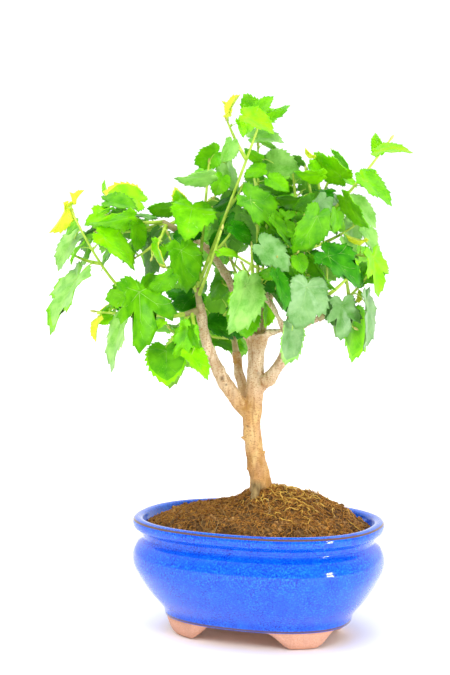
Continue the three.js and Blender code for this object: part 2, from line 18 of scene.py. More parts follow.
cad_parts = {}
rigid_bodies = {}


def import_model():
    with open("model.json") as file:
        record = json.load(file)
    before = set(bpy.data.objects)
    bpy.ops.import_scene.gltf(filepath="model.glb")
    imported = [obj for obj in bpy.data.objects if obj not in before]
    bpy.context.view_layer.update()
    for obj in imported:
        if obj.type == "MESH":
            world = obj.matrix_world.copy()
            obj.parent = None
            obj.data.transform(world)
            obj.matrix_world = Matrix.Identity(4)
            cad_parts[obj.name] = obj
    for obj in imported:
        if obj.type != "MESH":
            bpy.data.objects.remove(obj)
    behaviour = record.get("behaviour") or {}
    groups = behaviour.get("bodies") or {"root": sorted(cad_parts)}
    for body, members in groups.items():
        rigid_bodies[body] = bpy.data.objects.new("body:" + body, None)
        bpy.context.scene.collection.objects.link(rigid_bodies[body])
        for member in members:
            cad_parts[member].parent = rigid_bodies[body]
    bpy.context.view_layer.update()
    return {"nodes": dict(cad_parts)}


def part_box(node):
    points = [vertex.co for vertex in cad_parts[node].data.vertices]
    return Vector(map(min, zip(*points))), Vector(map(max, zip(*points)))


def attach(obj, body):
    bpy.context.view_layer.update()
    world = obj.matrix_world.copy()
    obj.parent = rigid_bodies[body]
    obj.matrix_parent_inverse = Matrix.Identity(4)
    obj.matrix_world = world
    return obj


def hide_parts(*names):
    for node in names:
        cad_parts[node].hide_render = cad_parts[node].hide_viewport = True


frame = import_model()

print("nodes in the frame:", len(frame["nodes"]))

# %% [markdown]
# ## Millimetres and pieces
# The plant is easiest to describe in millimetres round the middle of its pot, so every mesh is made
# there and taken into the frame by one matrix. The matrix goes into the mesh and not onto the object:
# the object stays at the origin, and a pattern on Object coordinates then keeps its place.

# %% A piece of the plant
MM = 0.001
pot_low, pot_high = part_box("pot")
POT_MIDDLE = (pot_low + pot_high) / 2
POT_MIDDLE.z = 0
TO_FRAME = Matrix.Translation(POT_MIDDLE) @ Matrix.Scale(MM, 4)


def set_down(name, mesh, finishes, nodes):
    """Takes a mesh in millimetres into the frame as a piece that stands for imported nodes."""
    mesh.transform(TO_FRAME)
    for finish in finishes:
        mesh.materials.append(finish)
    mesh.shade_smooth()
    piece = bpy.data.objects.new(name, mesh)
    bpy.context.scene.collection.objects.link(piece)
    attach(piece, "root")
    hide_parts(*nodes)
    mesh.calc_loop_triangles()
    print(f"{name}: {len(mesh.loop_triangles)} triangles")
    return piece


def mesh_of(name, bm):
    """Ends a bmesh as a mesh of its own."""
    mesh = bpy.data.meshes.new(name)
    bm.to_mesh(mesh)
    bm.free()
    return mesh


print("pot's middle in the frame:", [round(x, 4) for x in POT_MIDDLE])

# %% [markdown]
# ## The camera
# The camera stands a metre in front of the pot, a little to its left and at the height of the crown,
# and looks down by about five degrees. Its focal length is given in pixels of the picture, and a camera
# in Blender wants it in millimetres of sensor, along the longer side.

# %% Camera
PICTURE_HEIGHT = 675
FOCAL_PIXELS = 1660
EYE = Vector((-20, -1000, 273))
LOOKS_DOWN = math.radians(5.2)

lens = bpy.data.cameras.new("camera")
lens.lens = lens.sensor_width * FOCAL_PIXELS / PICTURE_HEIGHT
camera = bpy.data.objects.new("camera", lens)
camera.location = TO_FRAME @ EYE
camera.rotation_euler = (math.pi / 2 - LOOKS_DOWN, 0, 0)
bpy.context.scene.collection.objects.link(camera)
bpy.context.scene.camera = camera
print("lens:", round(lens.lens, 1), "mm")

# %% [markdown]
# ## Words for finishes
# Glaze, clay, peat and bark are all mottled, at very different sizes. A few helpers say that in one line
# each: a speckle with features of so many millimetres, a ramp of colours, a blend, and a relief. What is
# the same all over a surface is set on the shader itself.

# %% Helpers for finishes
def new_finish(name, colour, roughness):
    finish = bpy.data.materials.new(name)
    finish.use_nodes = True
    shader = finish.node_tree.nodes["Principled BSDF"]
    shader.inputs["Base Color"].default_value = (*colour, 1)
    shader.inputs["Roughness"].default_value = roughness
    return finish, shader


def speckle(finish, size, stretch=(1, 1, 1), detail=3):
    """Noise on Object coordinates, with features of a size in millimetres."""
    nodes, links = finish.node_tree.nodes, finish.node_tree.links
    coordinates = nodes.new("ShaderNodeTexCoord")
    mapping = nodes.new("ShaderNodeMapping")
    texture = nodes.new("ShaderNodeTexNoise")
    mapping.inputs["Scale"].default_value = stretch
    texture.inputs["Scale"].default_value = 1 / (size * MM)
    texture.inputs["Detail"].default_value = detail
    links.new(coordinates.outputs["Object"], mapping.inputs["Vector"])
    links.new(mapping.outputs["Vector"], texture.inputs["Vector"])
    return texture.outputs[0]


def ramp(finish, value, stops):
    """Colours for a value: each stop is (place, colour)."""
    node = finish.node_tree.nodes.new("ShaderNodeValToRGB")
    elements = node.color_ramp.elements
    for place, colour in stops[1:-1]:
        elements.new(place).color = (*colour, 1)
    for element, (place, colour) in ((elements[0], stops[0]), (elements[-1], stops[-1])):
        element.position = place
        element.color = (*colour, 1)
    finish.node_tree.links.new(value, node.inputs["Fac"])
    return node.outputs["Color"]


def blended(finish, share, first, second):
    """Two colours blended by a share. Each is a socket or a plain colour."""
    links = finish.node_tree.links
    node = finish.node_tree.nodes.new("ShaderNodeMix")
    node.data_type = "RGBA"
    links.new(share, node.inputs[0])
    for socket, colour in ((node.inputs[6], first), (node.inputs[7], second)):
        if isinstance(colour, tuple):
            socket.default_value = (*colour, 1)
        else:
            links.new(colour, socket)
    return node.outputs[2]


def surface_value(finish, name):
    """A value that the mesh itself carries, such as how worn it is at each place."""
    node = finish.node_tree.nodes.new("ShaderNodeAttribute")
    node.attribute_name = name
    return node.outputs["Fac"]


def relief(finish, shader, height, depth):
    """Lets a value stand out of the surface by a depth in millimetres."""
    node = finish.node_tree.nodes.new("ShaderNodeBump")
    node.inputs["Distance"].default_value = depth * MM
    finish.node_tree.links.new(height, node.inputs["Height"])
    finish.node_tree.links.new(node.outputs["Normal"], shader.inputs["Normal"])


def colour_from(finish, shader, colour):
    finish.node_tree.links.new(colour, shader.inputs["Base Color"])


print("helpers for finishes are ready")

# %% [markdown]
# ## Smooth lines
# The pot's wall and every limb are smooth lines through a few chosen places. A centripetal Catmull-Rom
# line passes through all of them without loops. It is walked by its length, so that a share of 0.5 is
# half way along, whatever the spacing of the places.

# %% A line through places
LINE_MARKS = 200
HEADING_STEP = 1e-4
CENTRIPETAL = 0.5


def through(places):
    """The smooth curve through places, as a function of a number from 0 to 1."""
    points = np.asarray(places, float)
    pieces = len(points) - 1
    before, after = 2 * points[0] - points[1], 2 * points[-1] - points[-2]
    points = np.vstack([before, points, after])
    gaps = np.linalg.norm(np.diff(points, axis=0), axis=1) ** CENTRIPETAL

    def at(t):
        t = np.atleast_1d(t) * pieces
        i = np.minimum(t.astype(int), pieces - 1)
        w = (t - i)[:, None]
        p0, p1, p2, p3 = (points[i + k] for k in range(4))
        d0, d1, d2 = (gaps[i + k][:, None] for k in range(3))
        leave = d1 * ((p1 - p0) / d0 - (p2 - p0) / (d0 + d1) + (p2 - p1) / d1)
        arrive = d1 * ((p2 - p1) / d1 - (p3 - p1) / (d1 + d2) + (p3 - p2) / d2)
        cubic = 2 * p1 - 2 * p2 + leave + arrive
        square = 3 * p2 - 3 * p1 - 2 * leave - arrive
        return ((cubic * w + square) * w + leave) * w + p1

    return at


class Line:
    """A curve that is walked by its length, from share 0 to share 1."""

    def __init__(self, at):
        self.at = at
        self.marks = np.linspace(0, 1, LINE_MARKS + 1)
        steps = np.linalg.norm(np.diff(at(self.marks), axis=0), axis=1)
        self.walked = np.concatenate([[0], np.cumsum(steps)])
        self.length = self.walked[-1]

    def numbers(self, shares):
        return np.interp(np.atleast_1d(shares) * self.length, self.walked, self.marks)

    def places(self, shares):
        return self.at(self.numbers(shares))

    def headings(self, shares):
        t = self.numbers(shares)
        ahead = self.at(np.minimum(1, t + HEADING_STEP)) - self.at(np.maximum(0, t - HEADING_STEP))
        return ahead / np.linalg.norm(ahead, axis=1, keepdims=True)


print("a line through three places is", round(Line(through([[0, 0], [3, 4], [6, 0]])).length, 2), "long")

# %% [markdown]
# ## The pot's glazed body
# The pot is thrown as an oval bowl: a rounded lip, a narrow neck and a full belly that draws in to the
# foot. One profile spun round the axis makes the bowl, and moving each vertex from its circle onto an
# oval makes it the pot. A spin keeps the wall, the lip and the inside one closed surface.

# %% Body of the pot
POT_HALF_LENGTH = 77.7
POT_HALF_WIDTH = 59
POT_TURN = math.radians(-22)
POT_SQUARENESS = 2.3
OVAL_FROM = 45
POT_STEPS = 168
WALL_POINTS = 150
SAME_PLACE = 1e-4
BODY_FOOT = 11
FLOOR_TOP = 17
# Both walls as (inset from the pot's end, height)
OUTER_WALL = [
    (19.5, 11), (18.5, 15), (10.5, 25), (4, 35), (0.3, 43), (0, 50), (2.4, 55.4), (5.2, 58.2),
    (6.2, 60), (5.4, 61.2), (5.5, 62.6), (4.2, 63.8), (1.1, 65.3), (0, 68), (0.5, 70.6), (2.2, 72),
]
INNER_WALL = [(4.4, 72), (6.2, 71.2), (7, 69), (11.5, 58), (5.5, 47), (16, 27), (25, FLOOR_TOP)]


def oval_place(half_length, angle):
    """The place on the turned oval of a half length, in the direction of an angle."""
    slimness = min(1, half_length / OVAL_FROM)
    half_width = half_length - (POT_HALF_LENGTH - POT_HALF_WIDTH) * slimness
    c, s = math.cos(angle), math.sin(angle)
    x = math.copysign(half_length * abs(c) ** (2 / POT_SQUARENESS), c)
    y = math.copysign(half_width * abs(s) ** (2 / POT_SQUARENESS), s)
    c, s = math.cos(POT_TURN), math.sin(POT_TURN)
    return x * c - y * s, x * s + y * c


def spun(profile, steps):
    """Spins a profile of (half length, height), closes its poles and draws it out to the oval."""
    bm = bmesh.new()
    corners = [bm.verts.new((r, 0, z)) for r, z in profile]
    edges = [bm.edges.new(pair) for pair in zip(corners, corners[1:])]
    bmesh.ops.spin(
        bm, geom=corners + edges, axis=(0, 0, 1), cent=(0, 0, 0), angle=2 * math.pi, steps=steps,
        use_merge=True,
    )
    bmesh.ops.remove_doubles(bm, verts=bm.verts, dist=SAME_PLACE)
    bmesh.ops.recalc_face_normals(bm, faces=bm.faces)
    for vert in bm.verts:
        x, y = oval_place(math.hypot(vert.co.x, vert.co.y), math.atan2(vert.co.y, vert.co.x))
        vert.co.x, vert.co.y = x, y
    return bm


def smooth_profile(points, count):
    """A profile of (inset from the pot's end, height), smoothed and turned into half lengths."""
    line = Line(through(points))
    return [(POT_HALF_LENGTH - inset, z) for inset, z in line.places(np.linspace(0, 1, count))]


body_profile = smooth_profile(OUTER_WALL + INNER_WALL, WALL_POINTS)
body = spun([(0, BODY_FOOT), *body_profile, (0, FLOOR_TOP)], POT_STEPS)
print("body of the pot:", len(body.faces), "faces")

# %% [markdown]
# Two holes in the floor let water out. A boolean with two plain pegs drills them, before the glaze goes on.

# %% Drain holes
DRAIN_RADIUS = 5
DRAIN_SPACING = 40
DRAIN_SIDES = 24


def drilled(mesh, pegs):
    """Cuts a mesh of pegs out of a mesh, and returns the result."""
    pot, peg = (bpy.data.objects.new("drilling", one) for one in (mesh, pegs))
    for one in (pot, peg):
        bpy.context.scene.collection.objects.link(one)
    cut = pot.modifiers.new("drill", "BOOLEAN")
    cut.operation = "DIFFERENCE"
    cut.solver = "EXACT"
    cut.object = peg
    done = bpy.data.meshes.new_from_object(pot.evaluated_get(bpy.context.evaluated_depsgraph_get()))
    bpy.data.objects.remove(pot)
    bpy.data.objects.remove(peg)
    return done


pegs = bmesh.new()
for side in (-1, 1):
    x, y = (side * DRAIN_SPACING / 2 * turn for turn in (math.cos(POT_TURN), math.sin(POT_TURN)))
    bmesh.ops.create_cone(
        pegs, cap_ends=True, segments=DRAIN_SIDES, radius1=DRAIN_RADIUS, radius2=DRAIN_RADIUS,
        depth=2 * FLOOR_TOP, matrix=Matrix.Translation((x, y, FLOOR_TOP)),
    )
body_mesh = drilled(mesh_of("body", body), mesh_of("pegs", pegs))
print("drilled body:", len(body_mesh.polygons), "faces")

# %% [markdown]
# ## The glaze
# The glaze is a glossy cobalt blue full of fine light specks, and it runs a little darker and lighter in
# upright streaks. It pulls thin on the lip's sharp outer edge, where the brown clay shows as a line. Each
# vertex carries how thin the glaze is there, and the finish blends to brown by that value.

# %% Glaze
glaze, glaze_shader = new_finish("cobalt_glaze", (0.001, 0.1, 0.8), 0.16)
specks = ramp(glaze, speckle(glaze, 1, detail=4), [
    (0.34, (0, 0.02, 0.36)), (0.5, (0, 0.09, 0.8)), (0.68, (0.015, 0.24, 0.97)),
])
streaks = ramp(glaze, speckle(glaze, 7, (1, 1, 0.16)), [
    (0.35, (0, 0.06, 0.62)), (0.65, (0.002, 0.15, 0.94)),
])
runny = ramp(glaze, speckle(glaze, 18), [(0.35, (0.05, 0.05, 0.05)), (0.65, (0.55, 0.55, 0.55))])
blue = blended(glaze, runny, specks, streaks)
thin = ramp(glaze, surface_value(glaze, "thin_glaze"), [(0.3, (0, 0, 0)), (0.7, (1, 1, 1))])
colour_from(glaze, glaze_shader, blended(glaze, thin, blue, (0.12, 0.065, 0.04)))
relief(glaze, glaze_shader, speckle(glaze, 1.6), 0.02)
glaze_shader.inputs["Specular IOR Level"].default_value = 0.15
glaze_shader.inputs["Coat Weight"].default_value = 0.75
glaze_shader.inputs["Coat Roughness"].default_value = 0.02
print("glaze is ready")

# %% [markdown]
# The bare clay under the pot is a salmon terracotta: matt, finely grained, and stained in a few places.

# %% Clay
clay, clay_shader = new_finish("bare_clay", (0.74, 0.34, 0.21), 0.85)
grain = ramp(clay, speckle(clay, 0.7, detail=5), [(0.3, (0.66, 0.3, 0.18)), (0.7, (0.85, 0.49, 0.33))])
stains = ramp(clay, speckle(clay, 9), [(0.45, (0, 0, 0)), (0.75, (0.7, 0.7, 0.7))])
colour_from(clay, clay_shader, blended(clay, stains, grain, (0.58, 0.3, 0.2)))
relief(clay, clay_shader, speckle(clay, 0.6, detail=5), 0.08)
print("clay is ready")

# %% [markdown]
# The glaze goes onto the body by height: it is thin in a line along the lip and in another just over the
# foot, and the underside stays bare clay.

# %% Glaze the body
OUTSIDE_FROM = 0.97
BREAK_HEIGHT = 70.9
BREAK_WIDTH = 0.62
FOOT_LINE = 11.9
FOOT_LINE_WIDTH = 0.9
FOOT_LINE_THINNESS = 0.8
UNDERSIDE_RISE = 0.3


def bell(values, middle, width):
    """A bump of height 1 round a middle value."""
    return np.exp(-(((values - middle) / width) ** 2))


def places_of(mesh):
    places = np.empty(3 * len(mesh.vertices))
    mesh.vertices.foreach_get("co", places)
    return places.reshape(-1, 3)


def carry(mesh, name, values):
    """Lets each vertex of a mesh carry a value."""
    attribute = mesh.attributes.new(name, "FLOAT", "POINT")
    attribute.data.foreach_set("value", np.asarray(values, np.float32))


def oval_shares(places):
    """How far out each place lies, as a share of the pot's outer oval."""
    c, s = math.cos(POT_TURN), math.sin(POT_TURN)
    along = (places[:, 0] * c + places[:, 1] * s) / POT_HALF_LENGTH
    across = (places[:, 1] * c - places[:, 0] * s) / POT_HALF_WIDTH
    return (np.abs(along) ** POT_SQUARENESS + np.abs(across) ** POT_SQUARENESS) ** (1 / POT_SQUARENESS)


body_places = places_of(body_mesh)
outside = oval_shares(body_places) > OUTSIDE_FROM
thinness = bell(body_places[:, 2], BREAK_HEIGHT, BREAK_WIDTH) * outside
foot_thinness = FOOT_LINE_THINNESS * bell(body_places[:, 2], FOOT_LINE, FOOT_LINE_WIDTH)
thinness = np.maximum(thinness, foot_thinness)
carry(body_mesh, "thin_glaze", thinness)
under = [face.index for face in body_mesh.polygons if face.center.z < BODY_FOOT + UNDERSIDE_RISE]
for index in under:
    body_mesh.polygons[index].material_index = 1
set_down("pot_body", body_mesh, [glaze, clay], ["pot"])

# %% [markdown]
# ## The feet
# Four feet stand under the body, with a low arch between each two. They are one ring with its lower edge
# lifted along the sides: a spin gives the ring, and each vertex then rises as far as the arch at its place.
# No cut is needed, and the lower edges stay round.

# %% Feet
FOOT_REACH = 54.7
FOOT_DEPTH = 11
WAIST = 57.9
FOOT_TOP = 12
ARCH_LONG = 66
ARCH_SHORT = 44
ARCH_HEIGHT = 9.9
ARCH_SLOPE = 0.46
FEET_STEPS = 288
# The ring's section as (half length, height), from the waist down and back up inside
FOOT_PROFILE = [
    (WAIST, FOOT_TOP), (57.1, 8), (56.1, 4.4),
    (FOOT_REACH + 0.3, 2), (FOOT_REACH - 1, 0.6), (FOOT_REACH - 2.8, 0),
    (FOOT_REACH - FOOT_DEPTH + 1.6, 0), (FOOT_REACH - FOOT_DEPTH, 1.4), (FOOT_REACH - FOOT_DEPTH, FOOT_TOP),
    (WAIST, FOOT_TOP),
]


def arch(distance, width):
    """Height of an arch at a distance from its middle: flat above, and round where it meets the ground."""
    share = min(1, max(0, 1 - distance / (width / 2)) / ARCH_SLOPE)
    return ARCH_HEIGHT * share * share * (3 - 2 * share)


feet = spun(FOOT_PROFILE, FEET_STEPS)
c, s = math.cos(POT_TURN), math.sin(POT_TURN)
for vert in feet.verts:
    along, across = vert.co.x * c + vert.co.y * s, vert.co.y * c - vert.co.x * s
    lift = max(arch(abs(along), ARCH_LONG), arch(abs(across), ARCH_SHORT))
    vert.co.z += lift * (1 - vert.co.z / FOOT_TOP)
set_down("pot_feet", mesh_of("feet", feet), [clay], ["pot"])

# %% [markdown]
# ## The mound of peat
# The peat fills the pot to just under its lip, rises to a mound round the trunk, and is heaped a little
# to its right. It is a spin too, closed below, with its upper rings lifted by the mound's height and then
# roughened. Loose crumbs and fibres lie on it afterwards.

# %% Mound
SOIL_EDGE = 67
SOIL_RINGS = 44
SOIL_STEPS = 150
SOIL_ROUGHNESS = 1.1
SOIL_FADE = 0.2
# Each rise is (height, spread, x, y)
SOIL_RISES = [(15, 58, 2.5, 0), (9, 14, 3, 1), (7.5, 21, 31, 1)]
# Each kind of lump is (share of the roughness, waves a millimetre, layer of the noise)
SOIL_LUMPS = [(1, 0.16, 0), (0.5, 0.45, 7), (0.35, 1.1, 3)]
SOIL_GAP = 0.35
SOIL_INSET = 7.9
SOIL_RIM = POT_HALF_LENGTH - SOIL_INSET - SOIL_GAP
WALL_UNDER_EDGE = 2
SAME_HEIGHT = 0.01


def soil_height(x, y):
    """Height of the peat at a place, before its roughness."""
    share = oval_shares(np.array([[x, y, 0]]))[0] * POT_HALF_LENGTH / SOIL_RIM
    rise = sum(
        height * math.exp(-((x - at_x) ** 2 + (y - at_y) ** 2) / spread**2)
        for height, spread, at_x, at_y in SOIL_RISES
    )
    return SOIL_EDGE + rise * min(1, max(0, 1 - share) / SOIL_FADE)


def roughness_at(x, y):
    lumps = sum(share * noise.noise(Vector((x, y, layer)) * waves) for share, waves, layer in SOIL_LUMPS)
    return SOIL_ROUGHNESS * lumps


wall_below = [
    (POT_HALF_LENGTH - inset - SOIL_GAP, z)
    for inset, z in INNER_WALL[::-1]
    if z < SOIL_EDGE - WALL_UNDER_EDGE
]
floor_below = [(0, FLOOR_TOP + SOIL_GAP), (wall_below[0][0], FLOOR_TOP + SOIL_GAP)]
rings = [(SOIL_RIM * (1 - i / SOIL_RINGS), SOIL_EDGE) for i in range(SOIL_RINGS + 1)]
mound = spun(floor_below + wall_below[1:] + rings, SOIL_STEPS)
for vert in mound.verts:
    if vert.co.z > SOIL_EDGE - SAME_HEIGHT:
        vert.co.z = soil_height(vert.co.x, vert.co.y) + roughness_at(vert.co.x, vert.co.y)
print("mound:", len(mound.faces), "faces, its top at", round(max(vert.co.z for vert in mound.verts), 1))

# %% [markdown]
# Peat is dark and fibrous and golden brown where the fibres dry, with large patches darkened nearly to black
# as painted shade.

# %% Peat
peat, peat_shader = new_finish("peat", (0.09, 0.045, 0.018), 0.95)
tone = ramp(peat, speckle(peat, 2.2, detail=6), [
    (0.3, (0.035, 0.015, 0.004)), (0.5, (0.16, 0.075, 0.019)), (0.72, (0.38, 0.21, 0.06)),
])
# Large patches darkened towards black: painted shade on the peat
painted_shade = ramp(peat, speckle(peat, 10), [(0.42, (0, 0, 0)), (0.62, (0.6, 0.6, 0.6))])
colour_from(peat, peat_shader, blended(peat, painted_shade, tone, (0.03, 0.012, 0.004)))
relief(peat, peat_shader, speckle(peat, 1.1, detail=6), 0.9)
set_down("peat_mound", mesh_of("mound", mound), [peat], ["soil"])

# %% [markdown]
# ## Crumbs
# Thousands of crumbs and bits of bark lie loose on the peat, coarser towards the rim. One small
# icosphere is made by an operator, and arrays copy, squash, turn and place it, because one joined mesh of
# plain copies is light to draw and keeps every crumb a closed body.

# %% Crumbs of peat
# Each row is (number, nearest and furthest share of the way to the rim, sizes, squash)
CRUMB_ROWS = [
    (1500, (0, 0.99), (0.35, 1), (0.5, 1.3)),
    (1500, (0, 0.99), (0.35, 1), (0.4, 1.5)),
    (240, (0.72, 0.98), (1.1, 2.4), (0.25, 1.2)),
]
DENTS = (0.7, 1.25)
# How dark the painted shade makes a crumb, as a share of its dark tone
PAINTED_SHADE_TONE = 0.5
DULL = 0.1
PEAT_SEED = 12
draws = np.random.default_rng(PEAT_SEED)


def unit_crumb():
    bm = bmesh.new()
    bmesh.ops.create_icosphere(bm, subdivisions=1, radius=1)
    corners = np.array([vert.co for vert in bm.verts])
    faces = np.array([[vert.index for vert in face.verts] for face in bm.faces])
    bm.free()
    return corners, faces


def turns(count):
    """Random rotations, as matrices."""
    quarters, _ = np.linalg.qr(draws.normal(size=(count, 3, 3)))
    return quarters * np.sign(np.linalg.det(quarters))[:, None, None]


def on_the_peat(count, nearest, furthest):
    """Random places on the peat, between two shares of the way from its middle to its rim."""
    places = []
    angles = draws.uniform(0, 2 * math.pi, count)
    shares = draws.uniform(nearest**2, furthest**2, count)
    for angle, share in zip(angles, shares):
        x, y = oval_place(SOIL_RIM * math.sqrt(share), angle)
        places.append((x, y, soil_height(x, y) + roughness_at(x, y)))
    return np.array(places)


def scattered(places, sizes, squash):
    """Copies of the unit crumb at places, as arrays of corners and faces."""
    corners, faces = unit_crumb()
    count = len(places)
    dented = corners * draws.uniform(*DENTS, (count, len(corners), 1))
    squashed = dented * draws.uniform(*squash, (count, 1, 3))
    made = np.einsum("nij,nkj->nki", turns(count), squashed) * sizes[:, None, None] + places[:, None]
    every = faces[None] + len(corners) * np.arange(count)[:, None, None]
    return made.reshape(-1, 3), every.reshape(-1, 3).tolist()


def joined(name, sets):
    """One mesh from sets of (corners, faces). The number of its set is a face's material."""
    corners = np.vstack([places for places, _ in sets])
    faces, kinds = [], []
    start = 0
    for kind, (places, set_faces) in enumerate(sets):
        faces += [[start + number for number in face] for face in set_faces]
        kinds += [kind] * len(set_faces)
        start += len(places)
    mesh = bpy.data.meshes.new(name)
    mesh.from_pydata(corners.tolist(), [], faces)
    mesh.polygons.foreach_set("material_index", kinds)
    return mesh


def crumb_finish(name, dark, light):
    finish, shader = new_finish(name, dark, 0.9)
    colour = ramp(finish, speckle(finish, 1.2), [(0.35, dark), (0.65, light)])
    # Large patches of painted shade on each crumb
    painted_shade = ramp(finish, speckle(finish, 10), [(0.42, (0, 0, 0)), (0.62, (0.55, 0.55, 0.55))])
    colour_from(finish, shader, blended(finish, painted_shade, colour, tuple(PAINTED_SHADE_TONE * tone for tone in dark)))
    relief(finish, shader, speckle(finish, 0.4), 0.15)
    shader.inputs["Specular IOR Level"].default_value = DULL
    return finish


CRUMB_FINISHES = [
    crumb_finish("dark_peat", (0.06, 0.022, 0.005), (0.3, 0.12, 0.022)),
    crumb_finish("brown_peat", (0.26, 0.1, 0.016), (0.64, 0.31, 0.07)),
    crumb_finish("bark_chip", (0.12, 0.05, 0.018), (0.5, 0.27, 0.09)),
]
crumb_sets = [
    scattered(on_the_peat(count, *shares), draws.uniform(*sizes, count), squash)
    for count, shares, sizes, squash in CRUMB_ROWS
]
set_down("peat_crumbs", joined("crumbs", crumb_sets), CRUMB_FINISHES, ["soil"])

# %% [markdown]
# ## Fibres and rootlets
# Short fibres mat the peat, and straw-coloured rootlets wander over the mound, most of them to the right
# of the trunk. A fibre is a three-sided tube along a wandering line. All of them are worked out in one
# go as arrays: a line of places for each, a radius at each place, and a ring of corners round it.

# %% Tubes from arrays
UPRIGHT_FROM = 0.9


def unit(vectors):
    return vectors / np.linalg.norm(vectors, axis=-1, keepdims=True)


def tubes(lines, radii, sides):
    """Closed tapering tubes along many lines, as (corners, faces): lines n x k x 3, radii n x k."""
    count, steps, _ = lines.shape
    along = unit(np.gradient(lines, axis=1))
    whole = unit(lines[:, -1] - lines[:, 0])
    upright = np.abs(whole[:, 2:]) > UPRIGHT_FROM
    side = np.cross(whole, np.where(upright, (1.0, 0.0, 0.0), (0.0, 0.0, 1.0)))[:, None]
    across = unit(side - along * np.sum(side * along, axis=2, keepdims=True))
    over = np.cross(along, across)
    angles = 2 * math.pi * np.arange(sides) / sides
    ring = across[:, :, None] * np.cos(angles)[:, None] + over[:, :, None] * np.sin(angles)[:, None]
    corners = lines[:, :, None] + radii[:, :, None, None] * ring
    number = np.arange(count * steps * sides).reshape(count, steps, sides)
    beside = np.roll(number, -1, axis=2)
    walls = np.stack([number[:, :-1], beside[:, :-1], beside[:, 1:], number[:, 1:]], axis=-1)
    ends = [number[:, 0, ::-1], number[:, -1]]
    faces = walls.reshape(-1, 4).tolist() + [list(end) for cap in ends for end in cap.tolist()]
    return corners.reshape(-1, 3), faces


print("helper for tubes is ready")

# %% [markdown]
# The fibres differ in length, colour and lift: short brown ones lie all over the peat, curly golden rootlets
# lie mostly on the heap, and a few pale hairs stand up from it.

# %% Fibres of the peat
FIBRES = 2800
FIBRE_LENGTH = (2, 6.5)
FIBRE_PLACES = 5
FIBRES_UP_TO = 0.94
ROOTLETS = 90
ROOTLET_LENGTH = (5, 15)
ROOTLET_PLACES = 10
ROOTLET_BED = (24, -3)
ROOTLET_SPREAD = (15, 13)
HAIRS = 40
HAIR_LENGTH = (3, 9)
HAIR_PLACES = 7
HAIR_BED = (8, 0)
HAIR_SPREAD = 24
HAIR_RISE = (2, 7)
HAIR_CURL = 1.5
KEPT_INSIDE = 0.88
# A fibre rises from the peat and falls back to it as a sine does between these angles
HUMP = (0.15, math.pi - 0.3)


def wandering(starts, lengths, steps, bend, lift):
    """Lines that wander over the peat from starts, a little above it."""
    count = len(starts)
    heading = draws.uniform(0, 2 * math.pi, count)
    turn = draws.normal(0, bend, (count, steps)).cumsum(axis=1) + heading[:, None]
    stride = (lengths / (steps - 1))[:, None]
    x = starts[:, :1] + np.cumsum(np.cos(turn) * stride, axis=1)
    y = starts[:, 1:2] + np.cumsum(np.sin(turn) * stride, axis=1)
    shares = oval_shares(np.stack([x.ravel(), y.ravel(), 0 * x.ravel()], axis=1))
    over = np.clip(shares / KEPT_INSIDE, 1, None)
    x, y = x / over.reshape(x.shape), y / over.reshape(y.shape)
    z = [[soil_height(*at) + roughness_at(*at) for at in zip(*row)] for row in zip(x, y)]
    hump = np.sin(np.linspace(*HUMP, steps)) * draws.uniform(*lift, (count, 1))
    return np.stack([x, y, np.array(z) + hump], axis=2)


def tapering(count, steps, thick, thin):
    return np.linspace(1, thin, steps) * draws.uniform(*thick, (count, 1))


def straw_finish(name, dark, light):
    finish, shader = new_finish(name, dark, 0.7)
    colour_from(finish, shader, ramp(finish, speckle(finish, 3), [(0.35, dark), (0.65, light)]))
    return finish


rootlet_bed = draws.normal(ROOTLET_BED, ROOTLET_SPREAD, (ROOTLETS, 2))
fibre_bed = on_the_peat(FIBRES, 0, FIBRES_UP_TO)
fibre_lengths = draws.uniform(*FIBRE_LENGTH, FIBRES)
fibre_lines = wandering(fibre_bed, fibre_lengths, FIBRE_PLACES, bend=0.4, lift=(0.2, 1.6))
rootlet_lengths = draws.uniform(*ROOTLET_LENGTH, ROOTLETS)
rootlet_lines = wandering(rootlet_bed, rootlet_lengths, ROOTLET_PLACES, bend=0.42, lift=(0.3, 2.4))
hair_bed = draws.normal(HAIR_BED, HAIR_SPREAD, (HAIRS, 2))
hair_lengths = draws.uniform(*HAIR_LENGTH, HAIRS)
hair_lines = wandering(hair_bed, hair_lengths, HAIR_PLACES, bend=0.15, lift=(0, 0.5))
hair_rise = np.linspace(0, 1, HAIR_PLACES) ** HAIR_CURL
hair_lines[:, :, 2] += hair_rise * draws.uniform(*HAIR_RISE, (HAIRS, 1))
FIBRE_FINISHES = [
    straw_finish("brown_fibre", (0.28, 0.1, 0.016), (0.6, 0.29, 0.05)),
    straw_finish("golden_rootlet", (0.5, 0.26, 0.035), (0.82, 0.53, 0.1)),
    straw_finish("pale_hair", (0.42, 0.26, 0.08), (0.66, 0.48, 0.2)),
]
fibre_sets = [
    tubes(fibre_lines, tapering(FIBRES, FIBRE_PLACES, thick=(0.13, 0.28), thin=0.5), sides=3),
    tubes(rootlet_lines, tapering(ROOTLETS, ROOTLET_PLACES, thick=(0.2, 0.46), thin=0.4), sides=4),
    tubes(hair_lines, tapering(HAIRS, HAIR_PLACES, thick=(0.1, 0.16), thin=0.5), sides=3),
]
set_down("peat_fibres", joined("fibres", fibre_sets), FIBRE_FINISHES, ["soil"])

# %% [markdown]
# ## The wood
# The trunk leans, narrows and ends in a cut knuckle, and its boughs fork off low. Each limb has a middle
# line through a few places and a radius at each of them. Beside the limbs there are small things that a
# young mulberry shows: a root that dips into the peat, a dead stick, a knob and a few sleeping buds.

